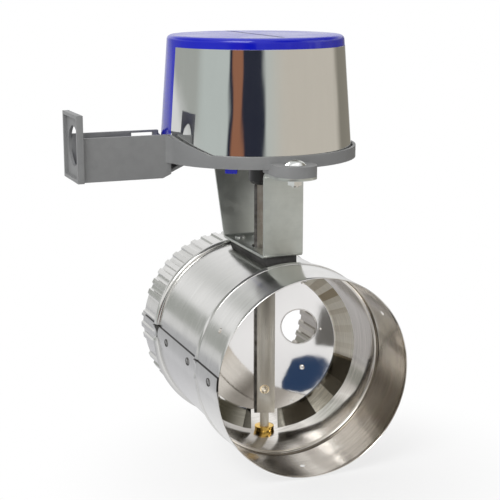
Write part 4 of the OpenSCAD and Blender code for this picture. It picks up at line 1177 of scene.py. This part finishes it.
class DAMPER_OT_cap(bpy.types.Operator):
    """Moulds the cap and lays its foil"""
    bl_idname = "damper.cap"
    bl_label = "Cap and foil"

    def execute(self, context):
        c, tray = settings().cap, settings().housing
        x, y, top = tray.tray_x, SHAFT_Y + tray.tray_back, CAP[1][2]
        rounded_piece("blue_cap", "cap", "cover", cap_plastic(c), c.edge, 2, 40)
        ob = work_object("foil_work", rounded_copy("cap_foil", "foil_label", 0.00005, 1, 40))
        cut(ob, foil_gap(c, x, y))
        smooth(settle(ob, "cap_foil", "cover", foil(c), "foil_label").data, 30)
        # A dark strip in the groove of the cap stands for its shade.
        bm = bmesh.new()
        block(bm, (x, y + c.groove_back, top - 0.00036),
              (c.groove_wide - 0.0002, c.groove_long - 0.0003, 0.0006))
        me = bevelled(mesh_of("cap_groove", bm), 0.00008, 2, 40)
        piece("cap_groove", me, "cover", groove_painted_shade())
        return {"FINISHED"}


# The bracket and the tray.
def bend_path(points, radii, steps=7):
    """A line through (y, z) points with its corners rounded."""
    out = [Vector(points[0])]
    for p, q, r, radius in zip(points, points[1:], points[2:], radii):
        p, q, r = Vector(p), Vector(q), Vector(r)
        u, v = (p - q).normalized(), (r - q).normalized()
        half = u.angle(v) / 2
        back = radius / (sin(half) / cos(half))
        mid = q + (u + v).normalized() * (radius / sin(half))
        a, b = q + u * back - mid, q + v * back - mid
        a0, a1 = atan2(a.y, a.x), atan2(b.y, b.x)
        while a1 - a0 > pi:
            a1 -= 2 * pi
        while a0 - a1 > pi:
            a1 += 2 * pi
        for k in range(steps + 1):
            w = a0 + (a1 - a0) * k / steps
            out.append(mid + Vector((cos(w), sin(w))) * radius)
    out.append(Vector(points[-1]))
    return out


def rivet_heads(g, i):
    """Domed rivet heads on a grid of points."""
    grid = geo(g, "GeometryNodeMeshGrid",
               {"Size X": i["Across"], "Size Y": i["Along"], "Vertices X": 2, "Vertices Y": 2})
    grid = geo(g, "GeometryNodeTransform", {"Geometry": grid, "Translation": i["Middle"]})
    ball = geo(g, "GeometryNodeMeshUVSphere", {"Segments": 28, "Rings": 14, "Radius": i["Radius"]})
    head = geo(g, "GeometryNodeTransform", {"Geometry": ball, "Scale": (1.0, 1.0, 0.36)})
    made = geo(g, "GeometryNodeInstanceOnPoints", {"Points": grid, "Instance": head})
    made = geo(g, "GeometryNodeRealizeInstances", {0: made})
    return geo(g, "GeometryNodeSetShadeSmooth", {"Geometry": made})


def shoulder(c, side, steps=24):
    """The tray's rim where it climbs to the wall of the arm."""
    rings = []
    low = TRAY_TOP - 0.003
    for k in range(steps + 1):
        f = k / steps
        a = c.shoulder_from + (c.shoulder_to - c.shoulder_from) * f
        z = TRAY_TOP + c.shoulder_rise * (1 - f) - 0.0001
        rings.append([(c.tray_x + r * cos(a), SHAFT_Y + c.tray_back + side * r * sin(a), h)
                      for r, h in ((c.tray_in, low), (c.tray_out, low), (c.tray_out, z), (c.tray_in, z))])
    return grid_mesh("shoulder", rings, closed=False)


def bracket_line(c, y_front, y_back, base, top):
    """The middle of the bent strip from its front flange to its back one, seen from the side."""
    h = c.sheet / 2
    lean = (c.arm_back_top - c.arm_back) / (top - base - c.sheet)
    slant = h * sqrt(1 + lean * lean)
    foot = SHAFT_Y + c.arm_back + lean * h - slant
    head = SHAFT_Y + c.arm_back + lean * (top - h - base) - slant
    arm = SHAFT_Y - c.arm_front + h
    corners = [(y_front, top - h), (arm, top - h), (arm, base + h), (foot, base + h), (head, top - h),
               (y_back, top - h)]
    return bend_path(corners, (c.top_bend + h, c.bend + h, c.bend + h, c.top_bend + h))


def strip_outline(line, half):
    """The closed outline of a strip of even thickness along a line."""
    left, right = [], []
    for k, p in enumerate(line):
        a = (line[k] - line[k - 1]).normalized() if k else (line[1] - line[0]).normalized()
        b = (line[k + 1] - line[k]).normalized() if k < len(line) - 1 else a
        n = (a + b).normalized()
        n = Vector((-n.y, n.x)) * (half / max(0.5, a.dot(n)))
        left.append(p + n)
        right.append(p - n)
    return left + right[::-1]


class DAMPER_OT_housing(bpy.types.Operator):
    """Folds the bracket, sets its rivets and moulds the tray"""
    bl_idname = "damper.housing"
    bl_label = "Bracket and tray"

    def execute(self, context):
        c = settings().housing
        base, top = BRACKET[0][2], BRACKET[1][2]
        y_front, y_back = BRACKET[0][1] + c.half, BRACKET[1][1] - c.half
        h = c.sheet / 2
        outline = strip_outline(bracket_line(c, y_front, y_back, base, top), h)
        me = grid_mesh("bracket_sheet", [[(x, p.x, p.y) for p in outline] for x in (-c.half, c.half)],
                       closed=False)
        bm = bmesh.new()
        for y in (y_front, y_back):
            cylinder(bm, c.half, c.sheet, (0, y, top - h), 64)
        ob = work_object("bracket_work", join(me, mesh_of("bracket_tabs", bm)))
        bm = bmesh.new()
        cylinder(bm, SHAFT_HOLE, 0.01, (0, SHAFT_Y, base + h), 72)
        for y in (y_front, y_back):
            cylinder(bm, FLANGE_HOLE, 0.01, (0, y, top - h), 32)
        for x, y in RIVET_SPOTS:
            cylinder(bm, RIVET_HOLE, 0.01, (x, y, base + h), 24)
        cut(ob, bm)
        me = ob.data
        bpy.data.objects.remove(ob)
        me = bevelled(me, 0.00022, 2, 50)
        me.name = "bracket_sheet"
        smooth(piece("bracket_sheet", me, "housing", galvanised(c), "bracket").data, 30)

        zinc = frame["nodes"]["bracket_rivets"].material_slots[0].material
        middle = (0.0, SHAFT_Y + (RIVET_FRONT + RIVET_BACK) / 2, base + c.sheet + 0.0005)
        ob = work_object("rivet_work", bpy.data.meshes.new("rivet_work"))
        grow(ob, "rivet_heads", {
            "Across": (VAL, 2 * RIVET_SIDE), "Along": (VAL, RIVET_BACK - RIVET_FRONT),
            "Radius": (VAL, c.rivet_radius), "Middle": (VEC, middle)}, zinc, rivet_heads)
        settle(ob, "rivet_domes", "housing", zinc)
        rounded_piece("tray_body", "actuator_tray", "housing", tray_plastic(c), c.edge, 3, 30,
                      [shoulder(c, side) for side in (-1, 1)])
        return {"FINISHED"}


# The finish of each material slot of the CAD model.
SLOT_LOOKS = {
    "zinc_screw": lambda s: metal("zinc_plated", (0.74, 0.75, 0.74), 0.14, (60, 60, 60), 0.05, marks=120.0),
    "brass": lambda s: metal("brass_turned", s.drive.brass, 0.13, (40, 40, 900)),
    "bar_steel": lambda s: bar_steel(s.drive),
    "gear_steel": lambda s: metal("gear_steel", (0.50, 0.50, 0.50), 0.28, (300, 300, 40)),
    "galvanised": lambda s: galvanised(s.housing),
    # The gasket is near black: a dark fibre, and painted shade for the shadowed space under the bracket.
    "gasket": lambda s: plastic("gasket_fibre", (0.018, 0.017, 0.016), 0.75, 700.0, 0.0002, dust=0.1),
    "black_plastic": lambda s: plastic("hub_black", s.drive.hub, 0.34, depth=0.00003, dust=0.03),
    "ivory_plastic": lambda s: plastic("ivory_nylon", (0.72, 0.68, 0.56), 0.42),
    "switch_red": lambda s: plastic("switch_red", (0.42, 0.035, 0.03), 0.35),
    "board_green": lambda s: plastic("board_laminate", (0.02, 0.16, 0.07), 0.30, depth=0.00002, coat=0.3),
    "relay_plastic": lambda s: plastic("relay_case", (0.55, 0.24, 0.03), 0.30, depth=0.00002),
    "sleeve_blue": lambda s: plastic("capacitor_sleeve", (0.03, 0.06, 0.22), 0.28, depth=0.00001),
    "terminal_green": lambda s: plastic("terminal_green", (0.03, 0.27, 0.11), 0.38),
    "stainless": lambda s: stainless(s.duct),
    "mirror_steel": lambda s: mirror_steel(s.blade),
    "grey_plastic": lambda s: tray_plastic(s.housing),
    "blue_plastic": lambda s: cap_plastic(s.cap),
    "foil": lambda s: foil(s.cap),
}


class DAMPER_OT_fittings(bpy.types.Operator):
    """Gives the drive, fasteners and board their finishes"""
    bl_idname = "damper.fittings"
    bl_label = "Drive and fasteners"

    def execute(self, context):
        made = {}
        slots = {p["node"]: p["material_slot"] for p in frame["record"]["subparts"]}
        for name, ob in frame["nodes"].items():
            slot = slots[name]
            if slot not in made:
                made[slot] = SLOT_LOOKS[slot](settings())
            for s in ob.material_slots:
                s.material = made[slot]
        return {"FINISHED"}


# The stage.
WHITE = (1, 1, 1, 1)

# Where the dark cards lie on the floor before the duct, in metres.
NAVY_CORNERS = ((-0.016, -0.004), (-0.022, -0.024), (-0.029, -0.074), (-0.032, -0.094), (-0.022, -0.112),
                (-0.006, -0.110), (0.002, -0.090), (0.006, -0.054), (0.007, -0.022), (0.002, -0.004))
GREY_CORNERS = ((-0.024, -0.147), (-0.066, -0.305), (0.06, -0.305), (0.06, -0.147))

# The camera that was fitted to the photograph: place, tilt down, turn, and focal length over picture width.
CAMERA_AT = (-0.37218, -0.80257, 0.29641)
CAMERA_DOWN, CAMERA_TURN, CAMERA_FOCUS = 12.57, -21.70, 1234.78 / 500


def shown(tree):
    """Is Glossy Ray, and a mask for the camera and what it sees through."""
    path = put(tree, "ShaderNodeLightPath").outputs
    return path["Is Glossy Ray"], most(tree, path["Is Camera Ray"], path["Is Transmission Ray"])


def studio_floor(c):
    """White for the camera and metal, with tones further out that only metal shows."""
    m, t, out = blank("studio_floor")
    plain = put(t, "ShaderNodeBsdfPrincipled", {"Base Color": rgba(c.floor), "Roughness": 0.6})
    glossy, seen = shown(t)
    at = put(t, "ShaderNodeTexCoord").outputs["Object"]
    x, y, _ = parts(t, at)
    share = span(t, vector(t, "LENGTH", {0: at}, "Value"), 0.08, 0.23, 0.68, 1.0, smooth=True)
    behind = span(t, y, 0.02, 0.25, smooth=True)
    left = span(t, x, -0.07, -0.25, 0.0, 0.6, smooth=True)
    tone = blend(t, behind, WHITE, (0.66, 0.66, 0.68, 1))
    tone = blend(t, left, tone, (0.40, 0.41, 0.42, 1))
    tone = blend(t, glossy, WHITE, tone)
    glow = put(t, "ShaderNodeEmission", {"Color": tone, "Strength": 1.0})
    mix = put(t, "ShaderNodeMixShader", {0: mul(t, most(t, seen, glossy), share)})
    t.links.new(plain.outputs[0], mix.inputs[1])
    t.links.new(glow.outputs[0], mix.inputs[2])
    t.links.new(mix.outputs[0], out.inputs[0])
    return m


def studio_world(c):
    """White for the camera; plain light for the rest, with a soft room for metal to show."""
    w = bpy.data.worlds.new("studio")
    w.use_nodes = True
    t = w.node_tree
    t.nodes.clear()
    out = t.nodes.new("ShaderNodeOutputWorld")
    glossy, seen = shown(t)
    x, y, z = parts(t, put(t, "ShaderNodeTexCoord").outputs["Generated"])

    # Before the duct: a cool left, a warm right and a dark upper right.
    low = blend(t, span(t, x, -0.40, 0.40, smooth=True), (0.55, 0.59, 0.57, 1), (0.62, 0.57, 0.50, 1))
    right = mul(t, span(t, x, -0.05, 0.2, smooth=True), span(t, z, 0.38, 0.44))
    high = blend(t, right, (0.95, 0.94, 0.92, 1), (0.13, 0.12, 0.09, 1))
    front = blend(t, span(t, z, 0.14, 0.26, smooth=True), low, high)

    # A wide navy stripe near the horizon, with a copper one in it.
    off = add(t, mul(t, x, -0.92), mul(t, y, 0.38))
    near = mul(t, span(t, y, -0.35, -0.5, smooth=True), span(t, z, 0.17, 0.11, smooth=True))
    navy = mul(t, span(t, off, -0.22, -0.14, smooth=True), span(t, off, 0.55, 0.50))
    front = blend(t, mul(t, near, navy), front, (0.025, 0.028, 0.045, 1))
    copper = mul(t, span(t, off, 0.24, 0.27), span(t, off, 0.47, 0.43))
    front = blend(t, mul(t, near, copper), front, (0.33, 0.145, 0.085, 1))

    # Behind the duct: light to the right, light under the horizon, a dark far right and a white band.
    back = blend(t, span(t, x, -0.40, 0.10, smooth=True), (0.42, 0.435, 0.41, 1), (0.92, 0.92, 0.92, 1))
    back = blend(t, span(t, z, 0.0, -0.03, smooth=True), back, (0.80, 0.80, 0.80, 1))
    back = blend(t, span(t, x, 0.50, 0.68, smooth=True), back, (0.26, 0.24, 0.20, 1))
    band = mul(t, span(t, z, 0.14, 0.20, smooth=True), span(t, z, 0.40, 0.32, smooth=True))
    back = blend(t, band, back, WHITE)

    room = blend(t, span(t, y, 0.25, -0.05, smooth=True), back, front)
    room = blend(t, span(t, z, 0.70, 0.88, smooth=True), room, (0.95, 0.95, 0.95, 1))
    bright, dim = rgba((c.world * 1.3,) * 3), rgba((c.world * 0.5,) * 3)
    plain = blend(t, span(t, x, -0.7, 0.7), bright, dim)
    colour = blend(t, seen, blend(t, glossy, plain, room), WHITE)
    bg = put(t, "ShaderNodeBackground", {"Color": colour, "Strength": 1.0})
    t.links.new(bg.outputs[0], out.inputs[0])
    return w


def dark_card(name, colour, corners):
    """A dark thing on the floor before the duct, seen only in polished metal."""
    me = bpy.data.meshes.new(name)
    me.from_pydata([(x, y, FLOOR_Z + 0.001) for x, y in corners], [], [tuple(range(len(corners)))])
    m, t, out = blank(name)
    glow = put(t, "ShaderNodeEmission", {"Color": colour, "Strength": 1.0})
    t.links.new(glow.outputs[0], out.inputs[0])
    me.materials.append(m)
    ob = work_object(name, me)
    ob.visible_camera = ob.visible_diffuse = ob.visible_shadow = ob.visible_transmission = False


def square_lamp(name, at, size, power, aim):
    d = bpy.data.lights.new(name, "AREA")
    d.shape = "SQUARE"
    d.size = size
    d.energy = power
    ob = work_object(name, d)
    ob.location = at
    ob.rotation_euler = (Vector(aim) - Vector(at)).to_track_quat("-Z", "Y").to_euler()


def fitted_camera():
    """The camera that sees the damper as the photograph does."""
    cam = bpy.data.cameras.new("camera")
    cam.sensor_width = 36
    cam.lens = CAMERA_FOCUS * cam.sensor_width
    cam.clip_start = 0.01
    ob = work_object("camera", cam)
    ob.location = CAMERA_AT
    ob.rotation_euler = Euler((radians(90 - CAMERA_DOWN), 0, radians(CAMERA_TURN)))
    bpy.context.scene.camera = ob


class DAMPER_OT_stage(bpy.types.Operator):
    """Sets the floor, the lamps, the plain backdrop and the camera"""
    bl_idname = "damper.stage"
    bl_label = "Stage"

    def execute(self, context):
        c = settings().stage
        bm = bmesh.new()
        bmesh.ops.create_circle(bm, cap_ends=True, segments=96, radius=c.floor_radius,
                                matrix=Matrix.Translation((0, SHAFT_Y, FLOOR_Z)))
        floor = work_object("floor", mesh_of("floor", bm))
        floor.data.materials.append(studio_floor(c))
        context.scene.world = studio_world(c)
        dark_card("navy_card", (0.03, 0.058, 0.125, 1), NAVY_CORNERS)
        dark_card("grey_card", (0.15, 0.145, 0.135, 1), GREY_CORNERS)
        square_lamp("key_lamp", (-0.9, -0.7, 1.3), 0.8, c.key, (0, 0.09, 0.08))
        square_lamp("fill_lamp", (1.1, -0.4, 0.8), 0.9, c.fill, (0, 0.09, 0.05))
        square_lamp("top_lamp", (0.2, 0.5, 1.6), 1.0, c.fill, (0, 0.09, 0.05))
        fitted_camera()
        context.scene.view_settings.view_transform = "Standard"
        return {"FINISHED"}


STEPS = (("stage", "damper.stage"), ("drive", "damper.fittings"), ("duct", "damper.duct"),
         ("blade", "damper.blade"), ("drive", "damper.shaft"), ("housing", "damper.housing"),
         ("cap", "damper.cap"))


class DAMPER_PT_panel(bpy.types.Panel):
    """The damper's sizes, colours and pieces"""
    bl_idname = "DAMPER_PT_panel"
    bl_label = "Vent damper"
    bl_space_type = "VIEW_3D"
    bl_region_type = "UI"
    bl_category = "Damper"

    def draw(self, context):
        for group, operator in STEPS:
            box = self.layout.box()
            box.operator(operator)
            values = getattr(settings(), group)
            for key in values.bl_rna.properties.keys():
                if key not in ("rna_type", "name"):
                    box.prop(values, key)


CLASSES = (DuctSettings, BladeSettings, CapSettings, HousingSettings, DriveSettings, StageSettings,
           DamperSettings, DAMPER_OT_stage, DAMPER_OT_duct, DAMPER_OT_blade, DAMPER_OT_shaft, DAMPER_OT_cap,
           DAMPER_OT_housing, DAMPER_OT_fittings, DAMPER_PT_panel)


def register():
    for c in CLASSES:
        bpy.utils.register_class(c)
    bpy.types.Scene.damper = PointerProperty(type=DamperSettings)


def unregister():
    del bpy.types.Scene.damper
    for c in reversed(CLASSES):
        bpy.utils.unregister_class(c)


def main():
    register()
    for _, operator in STEPS:
        getattr(bpy.ops.damper, operator.split(".")[1])()


if __name__ == "__main__":
    main()
